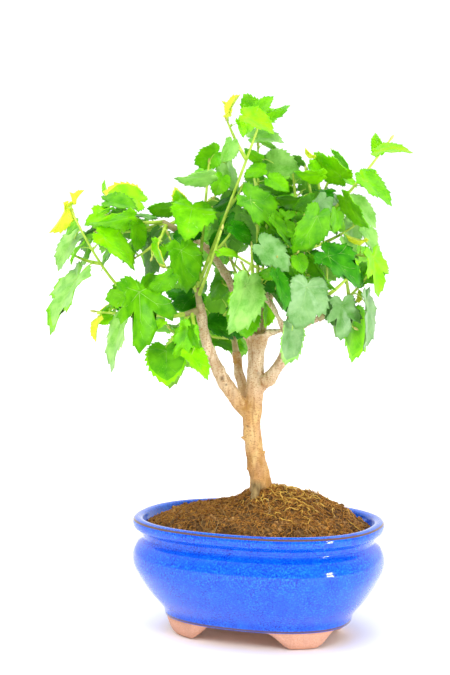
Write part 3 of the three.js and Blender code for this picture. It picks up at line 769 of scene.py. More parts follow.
# %% Lines of the wood
WOOD = {
    "trunk": (
        [(2.6, 0, 78), (2, 0, 92), (-1.1, 0, 108), (-3.6, 0, 124), (-3.4, 0, 138), (-1.8, 0, 152),
         (-1.2, 0, 169), (-0.6, 0, 185)],
        [7.4, 6.8, 5.8, 5.3, 6, 5.1, 4.9, 7.2],
    ),
    "left_bough": (
        [(-3, 0, 134), (-12, -3, 143), (-22, -7, 159), (-31, -11, 180), (-35.2, -14, 204)],
        [4.6, 4.4, 3.7, 3.2, 2.7],
    ),
    "rear_left_bough": ([(-3, 2, 141), (-9.5, 7.5, 152), (-13.2, 14, 172)], [3.4, 3.2, 2.8]),
    "right_bough": (
        [(-1, -1, 150), (8.3, -5, 160), (14, -8, 169), (17.2, -10, 178), (17.8, -10, 187)],
        [4.2, 3.9, 3.4, 3, 2.8],
    ),
    "right_upright": (
        [(17.9, -10, 187.4), (21, -8, 203), (26.5, -5, 219), (26, -5, 231)], [2.7, 2.3, 2.1, 1.8],
    ),
    "right_stub": ([(17.4, -10, 183), (12, -15, 195), (3.7, -20, 209)], [2.1, 1.9, 1.8]),
    "right_arm": ([(17.4, -10, 182), (27, -12, 190), (37, -12, 195)], [2.1, 1.8, 1.5]),
    "upper_left_limb": (
        [(-3, 2, 179), (-12, 4, 205), (-20.6, 5, 222), (-31.5, 8, 236), (-50, 10, 247)],
        [3.2, 2.8, 2.4, 2, 1.6],
    ),
    "back_limb": ([(1, 2, 179), (5, 16, 197), (12, 34, 214)], [3.2, 2.6, 2]),
}
SMALL_WOOD = {
    "root": ([(-0.6, -4.4, 97), (-1.3, -7.6, 92), (-2.4, -11.2, 85), (-3.6, -15, 77)], [3, 2.7, 2.2, 1.3]),
    "knuckle": ([(-1, -0.5, 181), (-8.4, -2, 186)], [5.4, 3.2]),
    "collar": ([(3.6, -5, 154.8), (8.4, -6.4, 158)], [4.1, 3.5]),
    "stick": ([(3, -3, 184.4), (9, -4.4, 185.6), (15.6, -5, 187)], [2.3, 1.9, 1.7]),
    "knob": ([(-28.6, -9.8, 173.2), (-33.6, -10.6, 174.8)], [2.9, 2.1]),
    "left_bud": ([(-7.4, -1.8, 119.6), (-10.2, -2.6, 121.8)], [1.4, 0.6]),
    "right_bud": ([(2.4, -3.8, 111), (4.6, -4.6, 113.4)], [1.5, 0.7]),
    "low_bud": ([(-5.2, -3.6, 101.6), (-6.9, -4.4, 103.2)], [1.2, 0.5]),
    "back_bud": ([(0.4, 4.4, 128), (0.8, 6.8, 130.4)], [1.5, 0.7]),
}
print("limbs:", len(WOOD), "and small wood:", len(SMALL_WOOD))

# %% [markdown]
# A limb is a ring that is extruded along its line, turning with the line and narrowing with the radius. At
# the foot the trunk swells into a few root ridges. All the limbs go into one mesh of closed tubes that
# run into each other.

# %% Tubes of wood
LIMB_SIDES = 20
LIMB_STEP = 2.5
FLARE = 3.4
FLARE_REACH = 17
FLARE_ROOTS = 5
FLARE_RIDGE = 0.4
FOOT_X, FOOT_Y, FOOT_Z = WOOD["trunk"][0][0]


def add_limb(bm, places, radii):
    """Extrudes a ring along a line, and closes both of its ends."""
    line = Line(through(places))
    shares = np.linspace(0, 1, max(2, round(line.length / LIMB_STEP)) + 1)
    middles = [Vector(place) for place in line.places(shares)]
    ways = [Vector(way) for way in line.headings(shares)]
    widths = np.interp(shares, np.linspace(0, 1, len(radii)), radii)
    upright = Vector((0, 0, 1)).rotation_difference(ways[0]).to_matrix().to_4x4()
    start = Matrix.Translation(middles[0]) @ upright
    ring = bmesh.ops.create_circle(
        bm, cap_ends=True, segments=LIMB_SIDES, radius=widths[0], matrix=start
    )["verts"]
    edges = list({edge for vert in ring for edge in vert.link_edges})
    for i in range(len(shares) - 1):
        made = bmesh.ops.extrude_edge_only(bm, edges=edges)["geom"]
        ring = {one for one in made if isinstance(one, bmesh.types.BMVert)}
        edges = [one for one in made if isinstance(one, bmesh.types.BMEdge) and ring.issuperset(one.verts)]
        turn = ways[i].rotation_difference(ways[i + 1]).to_matrix().to_4x4()
        grow = Matrix.Scale(widths[i + 1] / widths[i], 4)
        move = Matrix.Translation(middles[i + 1]) @ turn @ grow @ Matrix.Translation(-middles[i])
        bmesh.ops.transform(bm, matrix=move, verts=list(ring))
    bmesh.ops.contextual_create(bm, geom=edges)


wood = bmesh.new()
add_limb(wood, *WOOD["trunk"])
for vert in wood.verts:
    share = max(0, 1 - (vert.co.z - FOOT_Z) / FLARE_REACH)
    off = vert.co - Vector((FOOT_X, FOOT_Y, vert.co.z))
    ridges = 1 - FLARE_RIDGE + FLARE_RIDGE * math.cos(FLARE_ROOTS * math.atan2(off.y, off.x))
    vert.co += off.normalized() * FLARE * ridges * share**2
for name, (places, radii) in (WOOD | SMALL_WOOD).items():
    if name != "trunk":
        add_limb(wood, places, radii)
bmesh.ops.recalc_face_normals(wood, faces=wood.faces)
print("tubes of wood:", len(wood.faces), "faces")

# %% [markdown]
# A voxel remesh melts the tubes into one skin, and a little smoothing rounds the crotches and the cut ends,
# as bark does when it grows over a fork.

# %% One skin of bark
VOXEL = 0.6
SMOOTHING_ROUNDS = 5
SMOOTHING = 0.5


def remeshed(mesh, voxel):
    """The outer skin of a mesh of closed shells, as a new mesh."""
    holder = bpy.data.objects.new("remeshing", mesh)
    bpy.context.scene.collection.objects.link(holder)
    skin = holder.modifiers.new("skin", "REMESH")
    skin.mode = "VOXEL"
    skin.voxel_size = voxel
    done = bpy.data.meshes.new_from_object(holder.evaluated_get(bpy.context.evaluated_depsgraph_get()))
    bpy.data.objects.remove(holder)
    return done


skin = bmesh.new()
skin.from_mesh(remeshed(mesh_of("wood", wood), VOXEL))
for _ in range(SMOOTHING_ROUNDS):
    bmesh.ops.smooth_vert(
        skin, verts=skin.verts, factor=SMOOTHING, use_axis_x=True, use_axis_y=True, use_axis_z=True
    )
skin.normal_update()
print("skin of bark:", len(skin.verts), "vertices")

# %% [markdown]
# The bark's relief goes onto the skin's vertices: shallow furrows along the grain, small raised pores
# across it, and a few scars that sink in. Each vertex also carries what the finish needs to know there:
# how grey the bark is, how dark a scar is, how rusty a fork is, how pale the dead wood is, which is bleached
# and also lightened as painted light under the leaves' shade, and how much green has settled on the root.

# %% Relief of the bark
FURROW_DEPTH = 0.55
PORE_HEIGHT = 0.9
LUMP_HEIGHT = 0.8
# Waves a millimetre of each pattern, across a limb and along it
FURROWS = (0.55, 0.13)
GRAIN = (1.7, 0.5)
PORES = (0.75, 1.25)
LUMPS = (0.14, 0.14)
PORES_APART = Vector((9, 9, 9))
GRAIN_SHARE = 0.4
PORES_FROM = 0.3
# Each scar is (middle, radius, depth)
SCARS = [
    ((1.4, -5, 188.6), 4.2, 2.2), ((-21.6, -10.9, 158.2), 2.4, 0.8), ((-19.2, -10.1, 154.4), 1.3, 0.3),
    ((-33.8, -11, 175.4), 1.9, 1), ((0.6, -5.6, 160.8), 2, 0.6), ((-5.6, -5.4, 103), 1.3, 0.3),
    ((2.6, -5.4, 116), 1.4, 0.3), ((-6.4, -5, 128.4), 1.2, 0.3), ((-1, 5.4, 140), 2.2, 0.6),
]
# Where the bark is rusty, at the cut top, the forks and the foot, bleached on dead wood with painted light
# added there, and green on the root: (middle, radius)
RUSTY = [
    ((-2, -4, 185), 11), ((4, -6, 155), 4), ((-8, -4, 142), 7), ((-12, 12, 168), 10), ((5, -6, 90), 10),
    ((-2, -5, 103), 10),
]
BLEACHED_AND_LIT = [((8, -18, 203), 15), ((9.6, -4.4, 186), 6)]
GREENED = [((-1.8, -9.4, 88.5), 9.5)]
GREY_FROM = 134
GREY_TO = 162


def pattern(place, waves, apart=Vector((0, 0, 0))):
    """Noise with its own number of waves across a limb and along it."""
    across, along = waves
    return noise.noise(Vector((place.x * across, place.y * across, place.z * along)) + apart)


def relief_at(place):
    """How far the bark stands out at a place."""
    lumps = LUMP_HEIGHT * pattern(place, LUMPS)
    furrows = FURROW_DEPTH * (pattern(place, FURROWS) - GRAIN_SHARE * abs(pattern(place, GRAIN)))
    pores = PORE_HEIGHT * max(0, pattern(place, PORES, PORES_APART) - PORES_FROM)
    return lumps + furrows + pores


def nearness(place, spots):
    """1 in the middle of a spot, and 0 outside of all of them."""
    return max(0, *(1 - (place - Vector(middle)).length / radius for middle, radius in spots))


def sink_at(place):
    """How far the scars sink in at a place."""
    return sum(
        depth * max(0, 1 - ((place - Vector(middle)).length / radius) ** 2) for middle, radius, depth in SCARS
    )


bark_places = [vert.co.copy() for vert in skin.verts]
bark_spots = {"scar": [row[:2] for row in SCARS], "rust": RUSTY, "bleached_and_lit": BLEACHED_AND_LIT, "green": GREENED}
bark_values = {name: [nearness(place, spots) for place in bark_places] for name, spots in bark_spots.items()}
bark_values["grey"] = np.clip([(place.z - GREY_FROM) / (GREY_TO - GREY_FROM) for place in bark_places], 0, 1)
for vert, place in zip(skin.verts, bark_places):
    vert.co += vert.normal * (relief_at(place) - sink_at(place))
skin_mesh = mesh_of("bark", skin)
for name, values in bark_values.items():
    carry(skin_mesh, name, values)
print("scarred vertices:", sum(value > 0 for value in bark_values["scar"]))

# %% [markdown]
# Young mulberry bark is a pale tan, freckled all over with small orange-brown pores. It is greyer up the
# boughs, dark in the scars, rusty at the forks, bleached on dead wood, which is painted lighter still as
# painted light under the leaves' shade, and a dull olive brown on the root.

# %% Bark
bark, bark_shader = new_finish("bark", (0.6, 0.4, 0.2), 0.78)
ground = ramp(bark, speckle(bark, 5, (1, 1, 0.4), 5), [
    (0.3, (0.42, 0.19, 0.05)), (0.5, (0.63, 0.35, 0.115)), (0.7, (0.8, 0.54, 0.22)),
])
pinkness = ramp(bark, speckle(bark, 13), [(0.45, (0, 0, 0)), (0.65, (0.45, 0.45, 0.45))])
ground = blended(bark, pinkness, ground, (0.74, 0.43, 0.24))
grey_bark = ramp(bark, speckle(bark, 3, (1, 1, 0.35), 5), [
    (0.3, (0.5, 0.34, 0.19)), (0.7, (0.8, 0.64, 0.43)),
])
colour = blended(bark, surface_value(bark, "grey"), ground, grey_bark)
patches = ramp(bark, speckle(bark, 4, (1, 1, 0.6), 5), [(0.38, (0.15, 0.15, 0.15)), (0.6, (1, 1, 1))])
rust = ramp(bark, surface_value(bark, "rust"), [(0.05, (0, 0, 0)), (0.5, (1, 1, 1))])
rust = blended(bark, rust, (0, 0, 0), patches)
colour = blended(bark, rust, colour, (0.44, 0.22, 0.045))
# Dead wood is paler: bleached, and partly painted light that lifts it out of the leaves' shade
bleached_and_lit = ramp(bark, surface_value(bark, "bleached_and_lit"), [(0.05, (0, 0, 0)), (0.3, (0.8, 0.8, 0.8))])
colour = blended(bark, bleached_and_lit, colour, (0.86, 0.72, 0.48))
streaks = ramp(bark, speckle(bark, 2.2, (1, 1, 0.12), 4), [(0.55, (0, 0, 0)), (0.7, (0.7, 0.7, 0.7))])
colour = blended(bark, streaks, colour, (0.36, 0.17, 0.055))
freckles = ramp(bark, speckle(bark, 1.15, (1, 1, 1.7), 2), [(0.53, (0, 0, 0)), (0.66, (0.8, 0.8, 0.8))])
colour = blended(bark, freckles, colour, (0.38, 0.16, 0.04))
moss = ramp(bark, surface_value(bark, "green"), [(0.05, (0, 0, 0)), (0.45, (0.85, 0.85, 0.85))])
old_root = ramp(bark, speckle(bark, 1.6, (1, 1, 0.25), 4), [
    (0.35, (0.1, 0.07, 0.02)), (0.65, (0.32, 0.23, 0.09)),
])
colour = blended(bark, moss, colour, old_root)
dark = ramp(bark, surface_value(bark, "scar"), [(0.1, (0, 0, 0)), (0.7, (0.7, 0.7, 0.7))])
colour_from(bark, bark_shader, blended(bark, dark, colour, (0.1, 0.05, 0.02)))
relief(bark, bark_shader, speckle(bark, 0.8, (1, 1, 0.6), 4), 0.25)
set_down("bark_skin", skin_mesh, [bark], WOOD.keys())

# %% [markdown]
# ## The rule of the crown
# The crown grows from nine stems. From each stem rise a few leading shoots with a chosen heading, climb,
# length and bow, and everything finer follows by rule: side twigs in a spiral along the shoots, and
# leaves in a spiral along both. A seeded chance gives each mass its own lengths and turns, the same each
# time. This is the rule of the model's own masses, written again here, so both crowns share their reach.
# Only the first shoot of the left mass is longer here and bends further.

# %% Rows of the crown
# Each row is (mass, limb, way off the limb or None at its end, length of the stem, size of a leaf, seed,
# leading shoots), and each shoot is (azimuth, climb, length, bow) with both angles in degrees
MASSES = [
    ("top_leaves", "left_bough", None, 9, 30, 810,
     [(8, 69, 112, 0.03), (50, 82, 76, 0.03), (213, 60, 40, 0.05), (-62, 54, 54, 0.05)]),
    ("left_leaves", "left_bough", (-0.8, -0.5, -0.2), 8, 33, 121,
     [(172, 42, 93, 0.45), (189, 2, 54, 0.05), (215, -50, 34, 0), (278, -30, 32, 0)]),
    ("upper_left_leaves", "upper_left_limb", None, 9, 29, 509,
     [(205, 6, 34, 0.1), (179, -8, 40, 0.1), (254, -34, 34, 0), (20, 30, 32, 0.05), (119, 0, 44, 0.1)]),
    ("rear_left_leaves", "rear_left_bough", None, 9, 31, 556,
     [(155, 9, 50, 0.1), (121, 30, 60, 0.1), (86, 21, 55, 0.1)]),
    ("centre_leaves", "trunk", None, 10, 30, 717,
     [(89, 86, 102, 0.02), (252, 25, 44, 0.1), (281, 67, 72, 0.05), (122, 53, 66, 0.05)]),
    ("front_leaves", "right_stub", None, 9, 31, 648,
     [(287, 25, 36, 0.1), (324, -6, 40, 0), (249, 26, 34, 0.1), (325, 56, 52, 0.05)]),
    ("upper_right_leaves", "right_upright", None, 9, 29, 71,
     [(0, 49, 80, 0.08), (33, 63, 54, 0.05), (103, 66, 54, 0.05), (21, 23, 40, 0.1)]),
    ("lower_right_leaves", "right_arm", None, 8, 31, 37,
     [(24, 42, 34, 0.1), (320, -24, 26, 0), (60, -10, 28, 0), (268, 47, 42, 0.05)]),
    ("back_leaves", "back_limb", None, 10, 31, 648,
     [(74, 18, 52, 0.1), (28, 0, 46, 0.1), (120, 67, 58, 0.05), (133, 20, 60, 0.1), (25, 50, 52, 0.05)]),
]
MASS_NAMES = [row[0] for row in MASSES]
print("masses:", len(MASSES), "leading shoots:", sum(len(row[-1]) for row in MASSES))

# %% [markdown]
# A twig knows its line, the twig that bears it and its radius at both ends. A side twig or a stalk leaves
# its shoot to the side and a little onwards and upwards, turned round it by the golden angle each time, as
# leaves are on many plants, so that no two neighbours shade each other.

# %% Twigs
GAP = 0.35
STEM_RADIUS = 2.2
STEM_OFF_END = 1.6
TWIG_RADII = (1.5, 1)
TWIG_STEP = 16
TWIG_SIDES = 3
FIRST_SHOOT_AT = 0.95
SHOOTS_SPREAD = 0.75
SIDE_TWIG_EVERY = 34
SIDE_TWIG_LENGTH = 24
SIDE_TWIG_RANGE = (0.7, 1.3)
SIDE_TWIG_START = 0.7
SIDE_TWIG_BOW = 0.1
BRANCHING = 0.85
BRANCHING_ON = 0.5
BRANCHING_UP = 0.25
NEARLY_PLUMB = 0.1
SPIRAL = math.radians(137.5)
CHANCE_FACTOR = 1664525
CHANCE_STEP = 1013904223
CHANCE_LIMIT = 2**32


def seeded(seed):
    """A function that gives the next number of a fixed chance, from 0 to 1."""
    state = seed

    def chance():
        nonlocal state
        state = (state * CHANCE_FACTOR + CHANCE_STEP) % CHANCE_LIMIT
        return state / CHANCE_LIMIT

    return chance


def mix(low, high, share):
    return low + (high - low) * share


class Twig:
    """A stem, a shoot or a side twig."""

    def __init__(self, line, length, parent, radii):
        self.line = line
        self.length = length
        self.parent = parent
        self.radii = radii
        self.steps = math.ceil(length / TWIG_STEP)
        self.joints = line.places(np.linspace(0, 1, self.steps + 1))

    def place(self, share):
        """A place on the straight steps of the twig."""
        step = min(self.steps - 1, int(share * self.steps))
        return mix(self.joints[step], self.joints[step + 1], share * self.steps - step)

    def shape(self):
        return tubes(self.joints[None], np.linspace(*self.radii, self.steps + 1)[None], TWIG_SIDES)


def shoot_from(start, way, length, bow, parent):
    """A shoot from a start along a way, with its middle lowered by its bow."""
    end = start + way * length
    bend = (start + end) / 2 - np.array([0, 0, bow * length])

    def at(t):
        t = np.atleast_1d(t)[:, None]
        return (1 - t) ** 2 * start + 2 * t * (1 - t) * bend + t**2 * end

    return Twig(Line(at), length, parent, TWIG_RADII)


def off_shoot(shoot, share, turn):
    """The way that a stalk or side twig leaves its shoot."""
    along = shoot.line.headings(share)[0]
    across = np.array([-along[1], along[0], 0])
    if np.linalg.norm(across) < NEARLY_PLUMB:
        across = np.array([1.0, 0, 0])
    across = unit(across)
    over = np.cross(along, across)
    way = BRANCHING * (math.cos(turn) * across + math.sin(turn) * over) + BRANCHING_ON * along
    way[2] += BRANCHING_UP
    return unit(way)


def stem_root(limb, side):
    """Where a mass leaves its limb, and the way its stem goes on."""
    places, radii = WOOD[limb]
    line = Line(through(places))
    ahead = line.headings(1)[0]
    if side is None:
        return line.places(1)[0] + GAP * ahead, ahead
    way = unit(np.array(side) - np.dot(side, ahead) * ahead)
    share = 1 - STEM_OFF_END * radii[-1] / line.length
    radius = np.interp(share, np.linspace(0, 1, len(radii)), radii)
    return line.places(share)[0] + (radius + GAP) * way, way


def heading(azimuth, climb):
    a, c = math.radians(azimuth), math.radians(climb)
    return np.array([math.cos(a) * math.cos(c), math.sin(a) * math.cos(c), math.sin(c)])


def grow_twigs(row, chance):
    """The stem of a mass, its leading shoots and their side twigs."""
    _, limb, side, stem_length, _, _, shoot_rows = row
    root, ahead = stem_root(limb, side)
    tip = root + ahead * stem_length

    def along_stem(t):
        return mix(root, tip, np.atleast_1d(t)[:, None])

    stem = Twig(Line(along_stem), stem_length, None, (STEM_RADIUS, STEM_RADIUS))
    shoots, sides = [], []
    for i, (azimuth, climb, length, bow) in enumerate(shoot_rows):
        start = mix(root, tip, FIRST_SHOOT_AT - SHOOTS_SPREAD * i / len(shoot_rows))
        shoots.append(shoot_from(start, heading(azimuth, climb), length, bow, stem))
    for shoot in shoots:
        count = int(shoot.length / SIDE_TWIG_EVERY)
        first = chance() * 2 * math.pi
        for i in range(count):
            share = (i + SIDE_TWIG_START) / (count + SIDE_TWIG_START)
            way = off_shoot(shoot, share, first + i * SPIRAL)
            length = SIDE_TWIG_LENGTH * mix(*SIDE_TWIG_RANGE, chance())
            sides.append(shoot_from(shoot.place(share), way, length, SIDE_TWIG_BOW, shoot))
    return [stem, *shoots, *sides]


print("one mass has", len(grow_twigs(MASSES[0], seeded(1))), "twigs")

# %% [markdown]
# Twigs and leaves need room. All that already stands is kept in one crowd, and a new twig or leaf that would
# cut into it is turned, made smaller, or in the end left out.

# %% Room in the crown
LIMB_GUARD_STEPS = 16
LIMB_GUARD_SIDES = 8


class Crowd:
    """Shapes that stand, with their boxes in one array for a quick first look."""

    def __init__(self):
        self.members = []
        self.boxes = np.empty((0, 2, 3))

    def add(self, shape, owner=None):
        corners, faces = shape
        self.members.append((BVHTree.FromPolygons(corners.tolist(), faces), owner))
        self.boxes = np.append(self.boxes, [[corners.min(axis=0), corners.max(axis=0)]], axis=0)

    def blocks(self, shape, is_free=lambda owner: False):
        """Whether a shape cuts into a member whose owner isn't free to be touched."""
        corners, faces = shape
        near = (self.boxes[:, 0] <= corners.max(axis=0)) & (self.boxes[:, 1] >= corners.min(axis=0))
        tree = BVHTree.FromPolygons(corners.tolist(), faces)
        for number in np.nonzero(near.all(axis=1))[0]:
            other, owner = self.members[number]
            if not is_free(owner) and tree.overlap(other):
                return True
        return False


def limb_shape(places, radii):
    """A limb as a plain tube, with the gap round it."""
    shares = np.linspace(0, 1, LIMB_GUARD_STEPS + 1)
    widths = np.interp(shares, np.linspace(0, 1, len(radii)), radii) + GAP
    return tubes(Line(through(places)).places(shares)[None], widths[None], LIMB_GUARD_SIDES)


def roomy_twigs(row, chance, crowd):
    """The twigs of a mass that have room, with none that a missing twig would bear."""
    stem, *others = grow_twigs(row, chance)
    crowd.add(stem.shape(), stem)
    kept = [stem]
    for twig in others:
        def is_kin(owner, parent=twig.parent):
            return owner is not None and (owner is parent or owner.parent is parent)

        if twig.parent in kept and not crowd.blocks(twig.shape(), is_kin):
            crowd.add(twig.shape(), twig)
            kept.append(twig)
    return kept


crowd = Crowd()
for places, radii in WOOD.values():
    crowd.add(limb_shape(places, radii))
chances = {row[0]: seeded(row[5]) for row in MASSES}
twigs = {row[0]: roomy_twigs(row, chances[row[0]], crowd) for row in MASSES}
print("twigs:", sum(len(some) for some in twigs.values()))

# %% [markdown]
# ## Open sky
# A crown is known by its gaps as much as by its leaves. The places where the sky or a limb shows through are
# discs in the picture that no leaf of the rule may cross. A leaf is tested by where spots of its blade fall
# in the picture, worked out with the camera's own numbers.

# %% Places in the picture
PICTURE_WIDTH = 450
RIGHT = np.array([1.0, 0, 0])
FORWARD = np.array([0, math.cos(LOOKS_DOWN), -math.sin(LOOKS_DOWN)])
UPWARD = np.array([0, math.sin(LOOKS_DOWN), math.cos(LOOKS_DOWN)])
BEHIND_ALL = 1e6
# Discs of sky as (u, v, radius), in pixels of the picture
SKY = [
    (139, 275, 9), (142, 257, 5), (133, 207, 4), (206, 270, 6), (211, 288, 4), (244, 261, 10), (236, 263, 5),
    (250, 273, 7), (201, 195, 8), (196, 207, 3), (182, 187, 4), (292, 193, 4), (329, 242, 9), (318, 247, 4),
    (333, 181, 5), (350, 192, 7), (341, 288, 6), (347, 290, 8), (279, 318, 5), (159, 310, 5), (164, 339, 6),
    (130, 324, 5), (103, 272, 8), (118, 272, 9), (128, 280, 6), (100, 290, 8), (85, 310, 13), (78, 335, 12),
    (130, 345, 9), (125, 365, 8), (140, 374, 8), (150, 165, 20), (120, 160, 18), (90, 172, 13), (60, 185, 14),
    (320, 130, 18), (345, 140, 14), (358, 158, 9), (395, 170, 14), (400, 190, 12), (392, 225, 12),
    (395, 250, 14), (398, 275, 8), (386, 330, 12), (315, 345, 12), (325, 335, 9), (318, 360, 14),
    (335, 356, 8), (385, 365, 14), (345, 378, 12), (222, 352, 6), (200, 130, 20), (300, 112, 8),
    (167, 396, 9), (150, 394, 8), (185, 392, 8), (205, 394, 7), (396, 133, 9), (405, 138, 6), (362, 140, 8),
    (361, 376, 9), (374, 364, 6), (45, 240, 9), (52, 252, 5), (77, 262, 5), (62, 290, 4), (46, 290, 8),
    (60, 345, 10), (404, 160, 8), (388, 168, 6), (388, 215, 6), (105, 352, 7), (305, 335, 6),
    (271, 350, 8), (275, 340, 5), (240, 362, 4), (155, 387, 5), (173, 389, 4),
    (378, 347, 5),
]
# Places on limbs that stay in view, as (limb, share of its length, radius in pixels)
BARE_LIMBS = [
    ("left_bough", 0.98, 4), ("left_bough", 0.85, 4), ("right_stub", 1, 2.5), ("right_stub", 0.75, 2.5),
    ("right_stub", 0.5, 3), ("right_stub", 0.25, 3), ("trunk", 0.97, 4), ("trunk", 0.9, 5),
]
# Long shoots along which no leaf comes nearer than the shoot, as (shoot, first share, last share, radius)
BARE_SHOOTS = [(twigs["top_leaves"][1], 0.05, 0.85, 4), (twigs["left_leaves"][1], 0.55, 0.98, 2.5)]
BARE_SHOOT_DISCS = 40


def in_picture(places):
    """Where places show in the picture, in pixels, and how deep they lie."""
    off = places - np.array(EYE)
    depth = off @ FORWARD
    u = PICTURE_WIDTH / 2 + FOCAL_PIXELS * (off @ RIGHT) / depth
    v = PICTURE_HEIGHT / 2 - FOCAL_PIXELS * (off @ UPWARD) / depth
    return np.stack([u, v, depth], axis=1)


class View:
    """Discs of the picture that leaves may not cross, each down to a depth."""

    def __init__(self):
        self.discs = np.empty((0, 4))

    def keep_free(self, u, v, radius, depth=BEHIND_ALL):
        self.discs = np.vstack([self.discs, (u, v, radius, depth)])

    def is_crossed(self, places):
        seen = in_picture(places)
        off = np.hypot(seen[:, :1] - self.discs[:, 0], seen[:, 1:2] - self.discs[:, 1])
        return bool(((off < self.discs[:, 2]) & (seen[:, 2:] < self.discs[:, 3])).any())


view, limb_view = View(), View()
for disc in SKY:
    view.keep_free(*disc)
bare = [(Line(through(WOOD[limb][0])), share, radius) for limb, share, radius in BARE_LIMBS]
for shoot, first, last, radius in BARE_SHOOTS:
    bare += [(shoot.line, share, radius) for share in np.linspace(first, last, BARE_SHOOT_DISCS)]
for line, share, radius in bare:
    u, v, depth = in_picture(line.places(share))[0]
    view.keep_free(u, v, radius, depth)
    limb_view.keep_free(u, v, radius, depth)
print("discs that stay free:", len(view.discs))

# %% [markdown]
# ## Room for a leaf
# A mulberry leaf hangs from a stalk, faces out to the light and bends down to its tip. While it looks for
# room it is only a plain seven-sided blade with a margin round it.

# %% A leaf and its room
LEAF_THICKNESS = 0.5
STALK_SINK = 0.07
STALK_RADII = (0.5, 0.18)
GUARD_ANGLES = np.radians([0, 26, 54, 106, -106, -54, -26])
GUARD_HEART = np.array([1, 0.7, 0.62, 0.52, 0.52, 0.62, 0.7])
GUARD_LOBED = np.array([1, 0.42, 0.86, 0.56, 0.56, 0.86, 0.42])
GUARD_MIDDLE = 0.3
SPOT_RINGS = (0.05, 0.4, 0.7, 1)
LEAF_FOLD = 0.16
LEAF_DROOP = 0.16


class Leaf:
    """A stalk from a node on a shoot to a joint, and a blade from there along its axis."""

    def __init__(self, shoot, share, joint, axis, normal, size, lobing, youth=0):
        self.shoot = shoot
        self.node = shoot.place(share)
        self.joint = joint
        self.axis = axis
        self.normal = normal
        self.side = np.cross(normal, axis)
        self.size = size
        self.lobing = lobing
        self.share = share
        self.youth = youth
        self.tints = None

    def edge(self):
        """The corners of the plain blade, as shares of its size along and aside."""
        reach = mix(GUARD_HEART, GUARD_LOBED, self.lobing)
        return np.stack([reach * np.cos(GUARD_ANGLES), reach * np.sin(GUARD_ANGLES)], axis=1)

    def spots(self):
        """Places spread over the blade."""
        edge = self.edge()
        edge = np.vstack([edge, (edge + np.roll(edge, 1, axis=0)) / 2])
        flat = np.vstack([edge * ring for ring in SPOT_RINGS])
        return self.joint + self.size * (flat[:, :1] * self.axis + flat[:, 1:] * self.side)

    def blade_guard(self, margin):
        """A plain blade with a margin all round, as corners and faces."""
        along, aside = np.vstack([self.edge(), (GUARD_MIDDLE, 0)]).T[:, :, None]
        height = np.where(along > 0, LEAF_FOLD * np.abs(aside) - LEAF_DROOP * along**2, 0)
        shape = along * self.axis + aside * self.side + height * self.normal
        middle = self.joint + (self.size + margin) * shape
        lift = (LEAF_THICKNESS / 2 + margin) * self.normal
        corners = len(GUARD_ANGLES)
        below = corners + 1
        around = [(k, (k + 1) % corners) for k in range(corners)]
        faces = [[corners, a, b] for a, b in around]
        faces += [[below + corners, below + b, below + a] for a, b in around]
        faces += [[a, below + a, below + b, b] for a, b in around]
        return np.vstack([middle + lift, middle - lift]), faces

    def stalk_guard(self, margin):
        ends = np.array([[self.node, self.joint + STALK_SINK * self.size * self.axis]])
        return tubes(ends, np.array([STALK_RADII]) + margin, TWIG_SIDES)

    def stand_in(self, crowd):
        crowd.add(self.blade_guard(0))
        crowd.add(self.stalk_guard(0))


print("a leaf is tested at", len(SPOT_RINGS) * 2 * len(GUARD_ANGLES), "spots")
